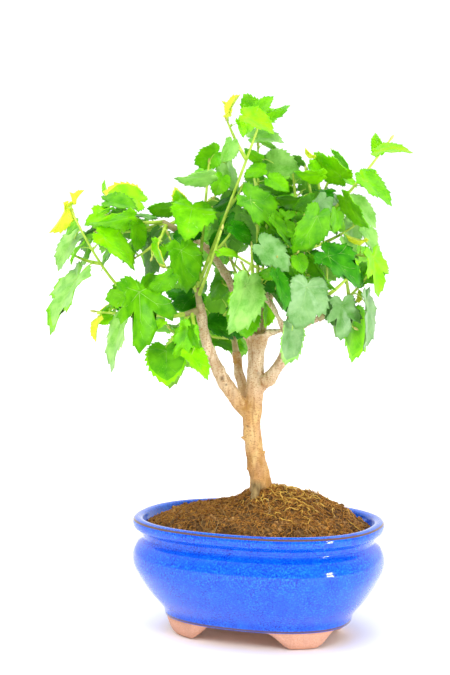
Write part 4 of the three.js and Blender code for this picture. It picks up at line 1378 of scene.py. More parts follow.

# %% [markdown]
# ## Leaves in view
# The leaves at the front of the crown are what the plant is known by, so they are set one by one. A row says
# where in the picture the blade meets its stalk, where its tip is, how wide it looks, how lobed it is and
# its tint. A blade that looks narrow is turned about its middle, and one that looks short leans to
# the viewer. Each hangs by its stalk on the foremost twig within reach, so no leaf floats.

# %% Leaves in view
# Each row is (joint, tip, width, lobing, tint, tint of its edge), in pixels of the picture. A width below 0
# turns the leaf the other way, and a third number of a joint brings it nearer, in millimetres
# Of the tints, the sheen is a painted reflection, pale is painted light shining through a leaf, and deep is
# partly painted shade
IN_VIEW = [
    ((234, 228), (253, 242), 18, 0.1, "deep"), ((250, 200), (290, 234), 34, 0.45, "mid"),
    ((258, 114), (241, 96), 24, 0.2, "bright"), ((258, 112), (272, 95), 16, 0.1, "bright"),
    ((257, 115), (291, 110), -16, 0.3, "bright"), ((247, 117, 14), (276, 130), 20, 0.1, "lime"),
    ((253, 120), (245, 136), -12, 0, "lime"), ((229, 113), (239, 94), 5, 0, "yellow"),
    ((229, 113), (223, 100), -4, 0, "yellow"), ((229, 112), (223, 117), 4, 0, "yellow"),
    ((239, 122), (245, 137), 8, 0, "lime"), ((255, 138), (284, 137), 15, 0.1, "pale"),
    ((216, 153), (195, 166), 26, 0.2, "bright"), ((231, 143), (223, 163), 17, 0.1, "pale"),
    ((226, 161), (234, 194), -20, 0.1, "pale"), ((208, 176), (175, 184), 16, 0.2, "pale"),
    ((222, 178), (215, 196), 22, 0.1, "bright"), ((272, 163), (298, 168), 32, 0.1, "pale"),
    ((259, 158), (243, 150), 12, 0.1, "bright"), ((262, 170), (243, 176), -16, 0.2, "bright"),
    ((271, 180, 16), (291, 190), 18, 0.1, "bright"),
    ((264, 160), (270, 176), 12, 0.1, "mid"), ((285, 186), (243, 190), 20, 0.2, "mid"),
    ((66, 208), (53, 235), 11, 0, "yellow"), ((75, 201), (83, 189), 6, 0, "yellow"),
    ((74, 201), (70, 192), -5, 0, "yellow"), ((106, 193), (103, 180), 5, 0, "lime"),
    ((137, 201), (104, 188), -24, 0.1, "lime", "yellow"), ((109, 202), (138, 206), 16, 0.2, "mid"),
    ((127, 218), (88, 227), 21, 0.2, "lime"), ((104, 238), (140, 264), 23, 0.1, "lime"),
    ((76, 237), (52, 267), -18, 0.1, "pale"), ((87, 245), (83, 269), 5, 0, "pale"),
    ((136, 226), (139, 252), 18, 0.1, "bright"), ((77, 279), (43, 331), -25, 0.6, "pale", "lime"),
    ((135, 294), (105, 301), 36, 0.4, "bright"), ((123, 318), (106, 371), -19, 0.3, "pale"),
    ((112, 303), (99, 317), 8, 0, "lime", "yellow"), ((99, 321), (93, 342), -8, 0, "yellow"),
    ((139, 292), (144, 354), 62, 1, "mid"), ((166, 351), (167, 384), 44, 0, "mid", "lime"),
    ((189, 330), (177, 360), 28, 0.4, "bright"), ((192, 330), (197, 350), -9, 0.1, "mid"),
    ((190, 353), (212, 377), 21, 0.1, "lime"), ((209, 322), (236, 335), 22, 0.2, "deep"),
    ((216, 339), (248, 346), 20, 0.1, "mid"), ((209, 331), (222, 335), 8, 0.2, "lime"),
    ((246, 285), (233, 336), 36, 0.15, "pale"),
    ((221, 279), (214, 302), 20, 0.1, "mid"), ((171, 208), (147, 211), 16, 0, "bright"),
    ((186, 206), (172, 189), 16, 0.1, "lime", "yellow"), ((192, 208), (186, 236), 50, 0.2, "bright"),
    ((156, 244, 8), (164, 270), -8, 0, "lime", "yellow"), ((150, 245), (152, 279), 23, 0.1, "sheen"),
    ((181, 250), (190, 293), 36, 0.2, "mid"), ((170, 276, 16), (149, 292), 20, 0.2, "mid"),
    ((186, 295), (164, 291), 15, 0.1, "deep"), ((203, 285), (193, 294), 12, 0, "sheen"),
    ((222, 236), (208, 248), -16, 0.1, "deep"),
    ((220, 254), (239, 254), 8, 0, "lime"), ((233, 198), (213, 213), 14, 0.2, "deep"),
    ((303, 200), (264, 199), 15, 0.2, "mid"),
    ((275, 222), (294, 249), 11, 0, "mid"), ((266, 232), (262, 251), 18, 0.1, "mid"),
    ((263, 247), (290, 271), 32, 0.3, "sheen"), ((277, 271), (258, 279), 15, 0.1, "mid"),
    ((257, 249), (260, 268), -9, 0, "deep"), ((317, 216), (298, 257), 34, 0.2, "mid"),
    ((311, 200), (293, 212), 16, 0.1, "mid"), ((277, 277), (288, 311), 15, 0.1, "deep"),
    ((307, 287), (297, 330), 50, 0.35, "sheen"), ((292, 328), (288, 366), 24, 0, "sheen", "pale"),
    ((268, 306), (267, 328), 14, 0.1, "bright", "lime"), ((342, 305, 10), (343, 341), 37, 0.9, "sheen"),
    ((353, 317, -22), (354, 363), 30, 0, "bright", "lime"), ((366, 301), (370, 351), 11, 0.1, "sheen"),
    ((358, 300), (360, 289), -6, 0, "yellow"), ((373, 257), (381, 297), 24, 0.7, "lime"),
    ((328, 256), (365, 282), 34, 0.5, "deep"), ((314, 262), (332, 293), -12, 0.1, "mid"),
    ((345, 240), (354, 261), 14, 0.1, "pale"), ((341, 176), (311, 156), 26, 0.3, "lime"),
    ((320, 175), (294, 177), 15, 0.2, "lime"), ((313, 156), (304, 149), 5, 0, "yellow"),
    ((379, 151), (374, 133), 13, 0, "lime"), ((380, 151), (412, 146), 11, 0.1, "lime"),
    ((365, 180), (394, 204), 20, 0.2, "bright"), ((354, 203), (380, 224), 22, 0.1, "pale"),
    ((346, 200), (367, 230), -18, 0.2, "bright"), ((366, 231), (377, 254), 16, 0.2, "pale"),
    ((336, 212), (337, 234), 14, 0.1, "bright"), ((363, 240), (344, 237), 5, 0, "yellow"),
    ((324, 200, 30), (307, 221), 22, 0.1, "sheen"), ((341, 177), (358, 186), 9, 0.1, "lime"),
    ((352, 222), (356, 250), 20, 0.1, "pale"), ((195, 296, -10), (172, 310), 26, 0.2, "deep"),
    ((201, 312, -10), (182, 326), 20, 0.2, "mid"),
]
HEART_WIDTH = 1.11
LOBED_WIDTH = 1.36
YOUNG_SLIMMER = 0.35
CROWN_PIXEL = 0.6
TWIG_MARKS = 14
FIRST_MARK = 0.1
STALK_SHARE = 0.42
SIDEWAYS_COST = 1.5
# Steps to the viewer and away that a leaf in view tries, in millimetres
STEPS_NEARER = (0, 5, -5, 10, -10, 15, -15, 20, -20, 26, -26, -33, 33, -40)
IN_VIEW_MARGIN = 0.15
# Discs that keep a leaf in view uncovered: (share of the way to its tip, radius as a share of its width)
UNCOVERED = ((0.1, 0.4), (0.4, 0.34), (0.7, 0.2))

marks = [
    (name, twig, share) for name in MASS_NAMES for twig in twigs[name][1:]
    for share in np.linspace(FIRST_MARK, 1, TWIG_MARKS)
]
mark_places = np.array([twig.place(share) for _, twig, share in marks])


def bearer(way, reach):
    """The foremost mark on a twig that a stalk can reach, its distance along a line of sight and aside."""
    off = mark_places - np.array(EYE)
    along = off @ way
    aside = np.linalg.norm(off - along[:, None] * way, axis=1)
    cost = np.where(aside < reach, along + SIDEWAYS_COST * aside, BEHIND_ALL + aside)
    best = int(np.argmin(cost))
    return *marks[best], along[best], aside[best]


def leaf_in_view(joint, tip, width, lobing, youth, nearer):
    """The mass and the leaf for a row, with the leaf brought nearer to the viewer."""
    across, up = np.subtract(joint, (PICTURE_WIDTH / 2, PICTURE_HEIGHT / 2)) * (1, -1) / FOCAL_PIXELS
    way = unit(FORWARD + across * RIGHT + up * UPWARD)
    seen = np.subtract(tip, joint)
    length = np.hypot(*seen)
    broadness = mix(HEART_WIDTH, LOBED_WIDTH, lobing) * (1 - YOUNG_SLIMMER * youth)
    pixels = max(length, abs(width) / broadness)
    lean = math.acos(length / pixels)
    turn = math.copysign(math.acos(abs(width) / broadness / pixels), width)
    stalk = STALK_SHARE * pixels * CROWN_PIXEL
    name, twig, share, along, aside = bearer(way, stalk)
    distance = along - math.sqrt(max(0, stalk**2 - aside**2)) - nearer
    flat_axis = (seen[0] * RIGHT - seen[1] * UPWARD) / length
    flat_axis = unit(flat_axis - np.dot(flat_axis, way) * way)
    axis = math.cos(lean) * flat_axis - math.sin(lean) * way
    facing = -math.cos(lean) * way - math.sin(lean) * flat_axis
    normal = math.cos(turn) * facing + math.sin(turn) * np.cross(facing, axis)
    size = pixels * distance * np.dot(way, FORWARD) / FOCAL_PIXELS
    return name, Leaf(twig, share, np.array(EYE) + distance * way, axis, normal, size, lobing, youth)


leaves = {name: [] for name in MASS_NAMES}
crowded = 0
for (u, v, *ahead), tip, width, lobing, *tints in IN_VIEW:
    joint = (u, v)
    youth = float(tints[0] == "yellow")
    for step in STEPS_NEARER:
        name, leaf = leaf_in_view(joint, tip, width, lobing, youth, sum(ahead) + step)
        if not limb_view.is_crossed(leaf.spots()) and not crowd.blocks(leaf.blade_guard(IN_VIEW_MARGIN)):
            break
    else:
        crowded += 1
        continue
    leaf.tints = tints
    leaf.stand_in(crowd)
    leaves[name].append(leaf)
    depth = in_picture(leaf.spots())[:, 2].min()
    for share, radius in UNCOVERED:
        view.keep_free(*mix(np.array(joint), np.array(tip), share), radius * abs(width), depth)
print("leaves in view:", sum(len(some) for some in leaves.values()), "without room:", crowded)

# %% [markdown]
# ## Leaves by the rule
# All the other leaves follow the rule: along each shoot they stand in a spiral, face out and up to the light,
# and hang. A leaf that finds no room is turned and made smaller, and in the end it is left out.

# %% Leaves by the rule
INTERNODE = 12.5
NODE_SET_BACK = 0.15
LEAF_TIP_SHARE = 0.75
LEAF_SIZE_RANGE = (0.85, 1.15)
LEAF_TILT = 1.1
LEAF_TRIES = 8
TRY_TURN = 0.85
TRY_SHRINK = 0.95
LEAF_MARGIN = 0.5
LOBES_RARE = 1.6
CROWN_MIDDLE = np.array([-12, 0, 0])
FACING_OUT = 0.42
FACING_SIDE = 0.38
SIDES_PART = 12
SIDES_SPREAD = 16
FACING_UP = 0.6
ALONG_STALK = 0.6
REACHING_OUT = 0.5
HANGING = 0.75


def leaf_off(shoot, share, turn, size, lobing, tilt, youth=0):
    """One try at a leaf: a stalk off the shoot, and a blade that faces out to the light and hangs."""
    stalk = off_shoot(shoot, share, turn)
    joint = shoot.place(share) + stalk * (STALK_SHARE * size + TWIG_RADII[0])
    away = unit((joint - CROWN_MIDDLE) * (1, 1, 0))
    side = FACING_SIDE * np.clip((joint[1] - SIDES_PART) / SIDES_SPREAD, -1, 1)
    normal = unit(away * FACING_OUT + np.array([tilt[0], tilt[1] + side, FACING_UP]))
    axis = stalk * ALONG_STALK + away * REACHING_OUT - np.array([0, 0, HANGING])
    axis = unit(axis - np.dot(axis, normal) * normal)
    return Leaf(shoot, share, joint, axis, normal, size, lobing**LOBES_RARE, youth)


def chance_tilt(chance):
    """A leaf's tilt in X and in Y, by chance."""
    return [LEAF_TILT * (chance() - 0.5) for _ in range(2)]


def find_room(shoot, make_try, tries, margin):
    """The first try that cuts into nothing and leaves the view open, or None. It then stands in the crowd."""
    def bears_it(owner):
        return owner is not None and owner in (shoot, shoot.parent)

    for attempt in range(tries):
        leaf = make_try(attempt)
        if view.is_crossed(leaf.spots()) or crowd.blocks(leaf.blade_guard(margin)):
            continue
        if crowd.blocks(leaf.stalk_guard(margin), bears_it):
            continue
        leaf.stand_in(crowd)
        return leaf
    return None


def grow_leaves(leaf_size, shoot, chance):
    """The leaves of one shoot, in a spiral."""
    count = int(shoot.length / INTERNODE)
    first = chance() * 2 * math.pi
    found = []
    for i in range(1, count + 1):
        share = (i - NODE_SET_BACK) / count
        size = leaf_size * mix(1, LEAF_TIP_SHARE, share) * mix(*LEAF_SIZE_RANGE, chance())
        lobing = chance()
        tilt = chance_tilt(chance)

        def make_try(attempt):
            turn = first + i * SPIRAL + attempt * TRY_TURN
            return leaf_off(shoot, share, turn, size * TRY_SHRINK**attempt, lobing, tilt)

        found.append(find_room(shoot, make_try, LEAF_TRIES, LEAF_MARGIN))
    return [leaf for leaf in found if leaf]


for name, _, _, _, leaf_size, _, _ in MASSES:
    for shoot in twigs[name][1:]:
        leaves[name] += grow_leaves(leaf_size, shoot, chances[name])
print("leaves in view and by the rule:", sum(len(some) for some in leaves.values()))

# %% [markdown]
# The same rule goes on at a finer scale, where there is still room: small leaves between the first ones, and
# a few young ones at the outer tips, which are still narrow and lime green, now and then yellow.

# %% Finer leaves
# Each row is (share of a full leaf's size, place between two nodes)
FILLS = [(0.55, 0.4), (0.42, 0.9), (0.36, 0.1)]
FILL_TRIES = 6
FILL_MARGIN = 0.2
YOUNG_SIZE = (8, 14)
YOUNG_LEAVES = 3
YOUNG_LOBING = 0.35
YOUNG_AT = 0.99
YOUNG_FROM = 66
CROWN_HEIGHT = 240


def from_middle(place):
    """How far a place is from the middle of the crown."""
    return np.linalg.norm(place - CROWN_MIDDLE - np.array([0, 0, CROWN_HEIGHT]))


def grow_fill(leaf_size, between, shoot, chance):
    """Small leaves between the places of the first ones."""
    count = int(shoot.length / INTERNODE)
    found = []
    for i in range(count):
        share = (i + between) / count
        size = leaf_size * mix(*LEAF_SIZE_RANGE, chance())
        first, lobing = chance() * 2 * math.pi, chance()
        tilt = chance_tilt(chance)

        def make_try(attempt):
            turn = first + attempt * TRY_TURN
            return leaf_off(shoot, share, turn, size * TRY_SHRINK**attempt, lobing, tilt)

        found.append(find_room(shoot, make_try, FILL_TRIES, FILL_MARGIN))
    return [leaf for leaf in found if leaf]


def grow_young(shoot, chance):
    """Young leaves round the tip of an outer shoot."""
    found = []
    for i in range(YOUNG_LEAVES):
        size, first = mix(*YOUNG_SIZE, chance()), chance() * 2 * math.pi
        tilt = chance_tilt(chance)

        def make_try(attempt):
            turn = first + attempt * TRY_TURN
            return leaf_off(shoot, YOUNG_AT, turn, size, YOUNG_LOBING * chance(), tilt, youth=1)

        found.append(find_room(shoot, make_try, FILL_TRIES, FILL_MARGIN))
    return [leaf for leaf in found if leaf]


for name, _, _, _, leaf_size, _, _ in MASSES:
    outer = [shoot for shoot in twigs[name][1:] if from_middle(shoot.place(1)) > YOUNG_FROM]
    for shoot in outer:
        leaves[name] += grow_young(shoot, chances[name])
    for size_share, between in FILLS:
        for shoot in twigs[name][1:]:
            leaves[name] += grow_fill(size_share * leaf_size, between, shoot, chances[name])
all_leaves = [leaf for name in MASS_NAMES for leaf in leaves[name]]
print("leaves:", len(all_leaves), "young ones:", sum(leaf.youth > 0 for leaf in all_leaves))

# %% [markdown]
# ## The blank of a leaf
# All leaves are drawn out of one round blank: a disc with spokes and rings, whose edge has a tooth at
# each spoke and a notch between. Insets make the rings, a poke makes the middle, a subdivision of the
# edge makes the notches, which are slid so that the teeth point to the tip, and solidify gives the blank its
# two sides and its rim.

# %% Leaf blank
LEAF_SPOKES = 30
BLANK_RINGS = (0.15, 0.24, 0.28)
BLANK_THICKNESS = 0.01
NOTCH = 0.885
NOTCH_AT_TIP = 0.96
TIP_ANGLE = 0.5
NOTCH_SLIDE = 0.22
TOOTH_LEAN = NOTCH_SLIDE * 2 * math.pi / LEAF_SPOKES
# A turning leaf changes colour along its edge: from this far out, up to this angle from the tip
TURNED_FROM = 0.86
TURNED_ANGLE = 1.7
# A face looks up or down from this height of its normal, and otherwise it is of the rim
FACING_FROM = 0.5


def leaf_blank():
    """The disc as its corners and faces, with how far up each face looks and its middle."""
    bm = bmesh.new()
    bmesh.ops.create_circle(bm, cap_ends=True, segments=LEAF_SPOKES, radius=1)
    for width in BLANK_RINGS:
        middle = max(bm.faces, key=lambda face: len(face.verts))
        bmesh.ops.inset_region(bm, faces=[middle], thickness=width, use_boundary=True, use_even_offset=True)
    bmesh.ops.poke(bm, faces=[max(bm.faces, key=lambda face: len(face.verts))])
    teeth = [vert for vert in bm.verts if vert.is_boundary]
    turn = Matrix.Rotation(-math.atan2(teeth[0].co.y, teeth[0].co.x), 3, "Z")
    bmesh.ops.transform(bm, matrix=turn.to_4x4(), verts=bm.verts)
    edge = [one for one in bm.edges if one.is_boundary]
    notches = bmesh.ops.subdivide_edges(bm, edges=edge, cuts=1)["geom_inner"]
    for vert in notches:
        if isinstance(vert, bmesh.types.BMVert):
            angle = math.atan2(vert.co.y, vert.co.x)
            reach = mix(NOTCH_AT_TIP, NOTCH, min(1, abs(angle) / TIP_ANGLE))
            angle += math.copysign(TOOTH_LEAN, angle)
            vert.co = reach * Vector((math.cos(angle), math.sin(angle), 0))
    bmesh.ops.recalc_face_normals(bm, faces=bm.faces)
    bmesh.ops.solidify(bm, geom=bm.faces[:], thickness=BLANK_THICKNESS)
    bmesh.ops.recalc_face_normals(bm, faces=bm.faces)
    bm.verts.index_update()
    corners = np.array([vert.co for vert in bm.verts])
    faces = [[vert.index for vert in face.verts] for face in bm.faces]
    facing = np.array([face.normal.z for face in bm.faces])
    middles = np.array([face.calc_center_median() for face in bm.faces])
    bm.free()
    return corners, faces, facing, middles


blank_corners, BLANK_FACES, blank_facing, blank_middles = leaf_blank()
BLANK_BELOW = blank_facing < -FACING_FROM
BLANK_RIM = np.abs(blank_facing) < FACING_FROM
BLANK_OUT = np.hypot(blank_corners[:, 0], blank_corners[:, 1])
BLANK_WAY = np.arctan2(blank_corners[:, 1], blank_corners[:, 0])
BLANK_HIGH = np.sign(blank_corners[:, 2] - blank_corners[:, 2].mean())
middles_out = np.hypot(blank_middles[:, 0], blank_middles[:, 1])
middle_ways = np.abs(np.arctan2(blank_middles[:, 1], blank_middles[:, 0]))
BLANK_EDGE = (middles_out > TURNED_FROM) & (middle_ways < TURNED_ANGLE)
print("leaf blank:", len(BLANK_FACES), "faces, below:", BLANK_BELOW.sum(), "at the edge:", BLANK_EDGE.sum())

# %% [markdown]
# ## The shape of a leaf
# A leaf is the blank drawn out to its own outline: between a plain heart and a lobed leaf, as mulberries
# bear both on one twig. It folds a little along its middle, droops to its tip, is pleated between the
# veins and waves along its edge. The formula works on all leaves of a mass at once.

# %% Outline and curve of a leaf
# Each row is (degrees from the tip's way, reach of a heart, reach of a lobed leaf)
OUTLINE = [
    (0, 1, 1), (6, 0.955, 0.95), (10, 0.925, 0.91), (16, 0.885, 0.84), (22, 0.85, 0.74), (26, 0.83, 0.58),
    (30, 0.81, 0.42), (34, 0.78, 0.4), (38, 0.75, 0.5), (44, 0.71, 0.68), (50, 0.68, 0.79), (56, 0.65, 0.82),
    (62, 0.625, 0.77), (70, 0.585, 0.62), (78, 0.555, 0.48), (84, 0.535, 0.43), (92, 0.51, 0.47),
    (100, 0.49, 0.52), (106, 0.475, 0.54), (125, 0.42, 0.48), (145, 0.34, 0.36), (165, 0.2, 0.2),
    (180, 0.06, 0.05),
]
OUTLINE_WAYS = np.radians([row[0] for row in OUTLINE])
HEART_REACH = [row[1] for row in OUTLINE]
LOBED_REACH = [row[2] for row in OUTLINE]
BLADE_THICKNESS = 0.32
PLEAT = 0.012
QUILT = 0.045
QUILT_EVERY = math.radians(54)
WAVE = 0.03
WAVE_RANGE = (0.3, 1)
WAVES_ROUND = 3
FOLD_RANGE = (0.6, 1.5)
FOLD_AT_STALK = 0.4
FOLD_GROWS = 3
DROOP_RANGE = (0.5, 1.5)
SKEW = 0.1
YOUNG_FOLD = 0.45
BLUNTNESS = 0.12
BLUNT_UP_TO = math.radians(64)


class Leaves:
    """A number of leaves as arrays, which can all be drawn at once."""

    def __init__(self, some, seed):
        own = np.random.default_rng(seed)
        count = len(some)
        youth = np.array([[leaf.youth] for leaf in some])
        self.joint, self.axis, self.side, self.normal = (
            np.array([getattr(leaf, name) for leaf in some])[:, None]
            for name in ("joint", "axis", "side", "normal")
        )
        self.size = np.array([leaf.size for leaf in some])[:, None]
        self.lobing = np.array([leaf.lobing for leaf in some])[:, None]
        self.skew = own.uniform(-SKEW, SKEW, (count, 1))
        self.wave = own.uniform(*WAVE_RANGE, (count, 1)) * WAVE
        self.phase = own.uniform(0, 2 * math.pi, (count, 1))
        self.fold = LEAF_FOLD * own.uniform(*FOLD_RANGE, (count, 1)) + YOUNG_FOLD * youth
        self.droop = LEAF_DROOP * own.uniform(*DROOP_RANGE, (count, 1))
        self.slim = 1 - YOUNG_SLIMMER * youth
        self.blunt = own.uniform(0, BLUNTNESS, (count, 1))

    def drawn(self, out, way, lift):
        """Places on the leaves, from how far out and which way they are, and millimetres above the blade."""
        angle = np.abs(way)
        heart = np.interp(angle, OUTLINE_WAYS, HEART_REACH)
        lobed = np.interp(angle, OUTLINE_WAYS, LOBED_REACH)
        reach = mix(heart, lobed, self.lobing) * (1 + self.skew * np.sign(np.sin(way)) * np.minimum(1, angle))
        reach = reach * (1 + self.blunt * np.sin(math.pi * np.minimum(1, angle / BLUNT_UP_TO)) ** 2)
        along = out * reach * np.cos(way)
        aside = out * reach * np.sin(way) * self.slim
        ahead = np.clip(along, 0, None)
        folding = np.clip(FOLD_AT_STALK + FOLD_GROWS * along, 0, 1)
        height = self.fold * np.abs(aside) * folding - self.droop * ahead**2
        height = height + self.wave * out**2 * np.sin(WAVES_ROUND * way + self.phase)
        height = height + PLEAT * out * np.cos(LEAF_SPOKES / 2 * way)
        height = height + QUILT * out * (1 - np.cos(2 * math.pi * angle / QUILT_EVERY)) / 2
        high = self.size * height + lift
        size = self.size[:, :, None]
        return self.joint + size * (along[:, :, None] * self.axis + aside[:, :, None] * self.side) + (
            high[:, :, None] * self.normal
        )


print("a lobed leaf is", round(2 * max(LOBED_REACH * np.sin(OUTLINE_WAYS)), 2), "times as wide as long")

# %% [markdown]
# Five main veins run from the stalk's end into the lobes, with side veins between them. They are thin tubes
# that lie in the blade and show on both of its sides, paler than the blade.

# %% Veins
VEIN_STEPS = 4
MAIN_VEINS = [((0.0, 0), (0.95, 0)), ((0.0, 55), (0.9, 55)), ((0.0, 106), (0.85, 106))]
SIDE_VEINS = [
    ((0.28, 0), (0.78, 19)), ((0.46, 0), (0.86, 12)), ((0.64, 0), (0.92, 7)),
    ((0.42, 55), (0.86, 68)), ((0.42, 55), (0.82, 44)), ((0.45, 106), (0.84, 90)), ((0.45, 106), (0.84, 128)),
]
VEIN_SIDES = 3
VEIN_PROUD = 0.03
VEIN_CURVE = 0.8
MAIN_VEIN_RADII = (0.014, 0.005)
SIDE_VEIN_RADII = (0.006, 0.003)


def vein_lines(veins):
    """Both sides' veins as arrays of how far out and which way."""
    shares = np.linspace(0, 1, VEIN_STEPS)
    out, way = [], []
    for (from_out, from_way), (to_out, to_way) in veins:
        for hand in (1, -1) if (from_way or to_way) else (1,):
            out.append(mix(from_out, to_out, shares))
            way.append(hand * np.radians(mix(from_way, to_way, shares**VEIN_CURVE)))
    return np.array(out), np.array(way)


def vein_tubes(some, veins, radii):
    """The veins of some leaves, as corners, faces and the number of the leaf that owns each face."""
    out, way = vein_lines(veins)
    places = some.drawn(out.ravel(), way.ravel(), 0).reshape(-1, VEIN_STEPS, 3)
    widths = np.repeat(some.size, len(out), axis=0) * np.linspace(*radii, VEIN_STEPS)
    corners, faces = tubes(places, np.maximum(widths, BLADE_THICKNESS / 2 + VEIN_PROUD), VEIN_SIDES)
    corners_each = len(out) * VEIN_STEPS * VEIN_SIDES
    owners = np.array([face[0] // corners_each for face in faces])
    return corners, faces, owners


print("veins of a leaf:", len(vein_lines(MAIN_VEINS)[0]) + len(vein_lines(SIDE_VEINS)[0]))

# %% [markdown]
# ## Greens
# The crown isn't one green. Leaves at the tips are lime, full ones are a strong mid green, the oldest are
# deep, and deep green also paints the shade inside the crown. Some carry a painted sheen, a grey-green
# reflection of the white surroundings painted into the colour, and some are painted pale for the light that
# comes through them. Each tint is a finish of its own that is dealt out leaf by leaf: a mottled blade with
# a soft gloss, a duller underside and paler veins.

# %% Leaf finishes
TINTS = {
    "lime": ((0.16, 0.58, 0.001), (0.31, 0.82, 0.004)),
    "bright": ((0.09, 0.42, 0.001), (0.22, 0.66, 0.004)),
    "mid": ((0.055, 0.3, 0.001), (0.15, 0.5, 0.004)),
    # Deep: the dark green of old leaves, which also paints the shade inside the crown
    "deep": ((0.008, 0.15, 0.001), (0.05, 0.31, 0.003)),
    # Sheen: a grey-green that paints the gloss's reflection of the white surroundings into the colour
    "sheen": ((0.08, 0.28, 0.03), (0.23, 0.45, 0.15)),
    # Pale: a light green that paints the light shining through a leaf
    "pale": ((0.15, 0.48, 0.03), (0.36, 0.71, 0.14)),
    "yellow": ((0.66, 0.76, 0.02), (0.86, 0.9, 0.07)),
}
TINT_NAMES = list(TINTS)
UNDERSIDE = np.array([0.32, 0.5, 0.17])
UNDERSIDE_SHARE = 0.3
VEIN_COLOUR = np.array([0.55, 0.78, 0.25])
VEIN_SHARE = 0.42
GLOSS = 0.15
GLOSSY = {"sheen": 0.5, "pale": 0.4}
BLADE_ROUGHNESS = 0.36
UNDERSIDE_ROUGHNESS = 0.65
VEIN_ROUGHNESS = 0.55


def leaf_finish(name, dark, light, roughness, gloss=GLOSS):
    finish, shader = new_finish(name, dark, roughness)
    quilt = ramp(finish, speckle(finish, 7, detail=4), [(0.35, dark), (0.65, light)])
    pores = ramp(finish, speckle(finish, 0.9, detail=2), [(0.4, (0, 0, 0)), (0.8, (0.5, 0.5, 0.5))])
    colour_from(finish, shader, blended(finish, pores, quilt, light))
    relief(finish, shader, speckle(finish, 1.3, detail=4), 0.12)
    shader.inputs["Specular IOR Level"].default_value = gloss
    return finish


def toned(tones, colour, share):
    return [tuple(mix(np.array(tone), colour, share)) for tone in tones]


# Each tint has three finishes: upper side, underside and veins
SIDES = 3
LEAF_FINISHES = []
for name, tones in TINTS.items():
    under_tones = toned(tones, UNDERSIDE, UNDERSIDE_SHARE)
    vein_tones = toned(tones, VEIN_COLOUR, VEIN_SHARE)
    LEAF_FINISHES += [
        leaf_finish(f"leaf_{name}", *tones, BLADE_ROUGHNESS, GLOSSY.get(name, GLOSS)),
        leaf_finish(f"leaf_{name}_under", *under_tones, UNDERSIDE_ROUGHNESS),
        leaf_finish(f"leaf_{name}_vein", *vein_tones, VEIN_ROUGHNESS),
    ]
print("leaf finishes:", len(LEAF_FINISHES))

# %% [markdown]
# A leaf in view has its own tint. For the others the tint follows the leaf's place: lime towards the tips of
# shoots and at the outside of the crown, deep inside it, partly as painted shade, with a chance of everything
# else between, the painted sheen among them.

# %% Leaves of each mass
CROWN_RADIUS = 85
FIRST_SEED = 100
TURNING = 0.1
PAINTED_SHEEN_CHANCE = 0.12
YOUTH_SPREAD = 0.2
YOUTH_OF_SHARE = 0.6
YOUTH_OF_DEPTH = 0.8
YOUNGEST = [("lime", 0.55), ("bright", 0.22), ("mid", -0.12)]
YELLOW_CHANCE = 0.04
TURNS_TO = {"deep": "mid", "mid": "bright", "bright": "lime"}


def deal_tints(leaf, own):
    """The tints of a leaf's blade and of its edge, from its place on the shoot and in the crown."""
    if leaf.tints:
        return leaf.tints[0], leaf.tints[-1]
    if leaf.youth:
        return ("yellow", "yellow") if own.random() < YELLOW_CHANCE else ("lime", "lime")
    # Deeper inside the crown a leaf's tint goes towards deep green, partly as painted shade
    depth = 1 - from_middle(leaf.joint + leaf.size * leaf.axis / 2) / CROWN_RADIUS
    youth = YOUTH_OF_SHARE * leaf.share - YOUTH_OF_DEPTH * depth + own.normal(0, YOUTH_SPREAD)
    tint = next((name for name, least in YOUNGEST if youth > least), "deep")
    # Now and then a leaf takes the sheen, a grey reflection painted into its colour
    if own.random() < PAINTED_SHEEN_CHANCE:
        tint = "sheen"
    return tint, TURNS_TO.get(tint, tint) if own.random() < TURNING else tint


def tint_numbers(tints):
    """The numbers of the finishes of a leaf's blade and of its edge."""
    return [SIDES * TINT_NAMES.index(tint) for tint in tints]


def mass_mesh(name, grown, seed):
    """All leaves of a mass as one mesh, with the finish of each face."""
    own = np.random.default_rng(seed)
    numbers = np.array([tint_numbers(deal_tints(leaf, own)) for leaf in grown])
    some = Leaves(grown, seed)
    corners = [some.drawn(BLANK_OUT, BLANK_WAY, BLANK_HIGH * BLADE_THICKNESS / 2).reshape(-1, 3)]
    faces, kinds = [], []
    for number, (blade, edge) in enumerate(numbers):
        start = number * len(BLANK_OUT)
        faces += [[start + corner for corner in face] for face in BLANK_FACES]
        kinds.append(np.where(BLANK_EDGE, edge, blade) + BLANK_BELOW)
    start = len(corners[0])
    for veins, radii in ((MAIN_VEINS, MAIN_VEIN_RADII), (SIDE_VEINS, SIDE_VEIN_RADII)):
        places, vein_faces, owners = vein_tubes(some, veins, radii)
        corners.append(places)
        faces += [[start + corner for corner in face] for face in vein_faces]
        kinds.append(numbers[owners, 0] + SIDES - 1)
        start += len(places)
    mesh = bpy.data.meshes.new(name)
    mesh.from_pydata(np.vstack(corners).tolist(), [], faces)
    mesh.polygons.foreach_set("material_index", np.concatenate(kinds).tolist())
    return mesh


for seed, name in enumerate(MASS_NAMES, FIRST_SEED):
    mesh = mass_mesh(name, leaves[name], seed)
    set_down(f"{name}_blades", mesh, LEAF_FINISHES, [name])
    smooth = np.ones(len(mesh.polygons), bool)
    rims = np.tile(BLANK_RIM, len(leaves[name]))
    smooth[: len(rims)] = ~rims
    mesh.polygons.foreach_set("use_smooth", smooth.tolist())

# %% [markdown]
# ## Shoots and stalks
# The shoots of the year are lime green and round, and brown where they leave the wood. A twig that bears no
# other ends just past its last leaf, because a bonsai's twigs are pinched back to a leaf. Each leaf has a
# thin stalk that arches a little. All are tubes along lines, so the function for the fibres makes them too.

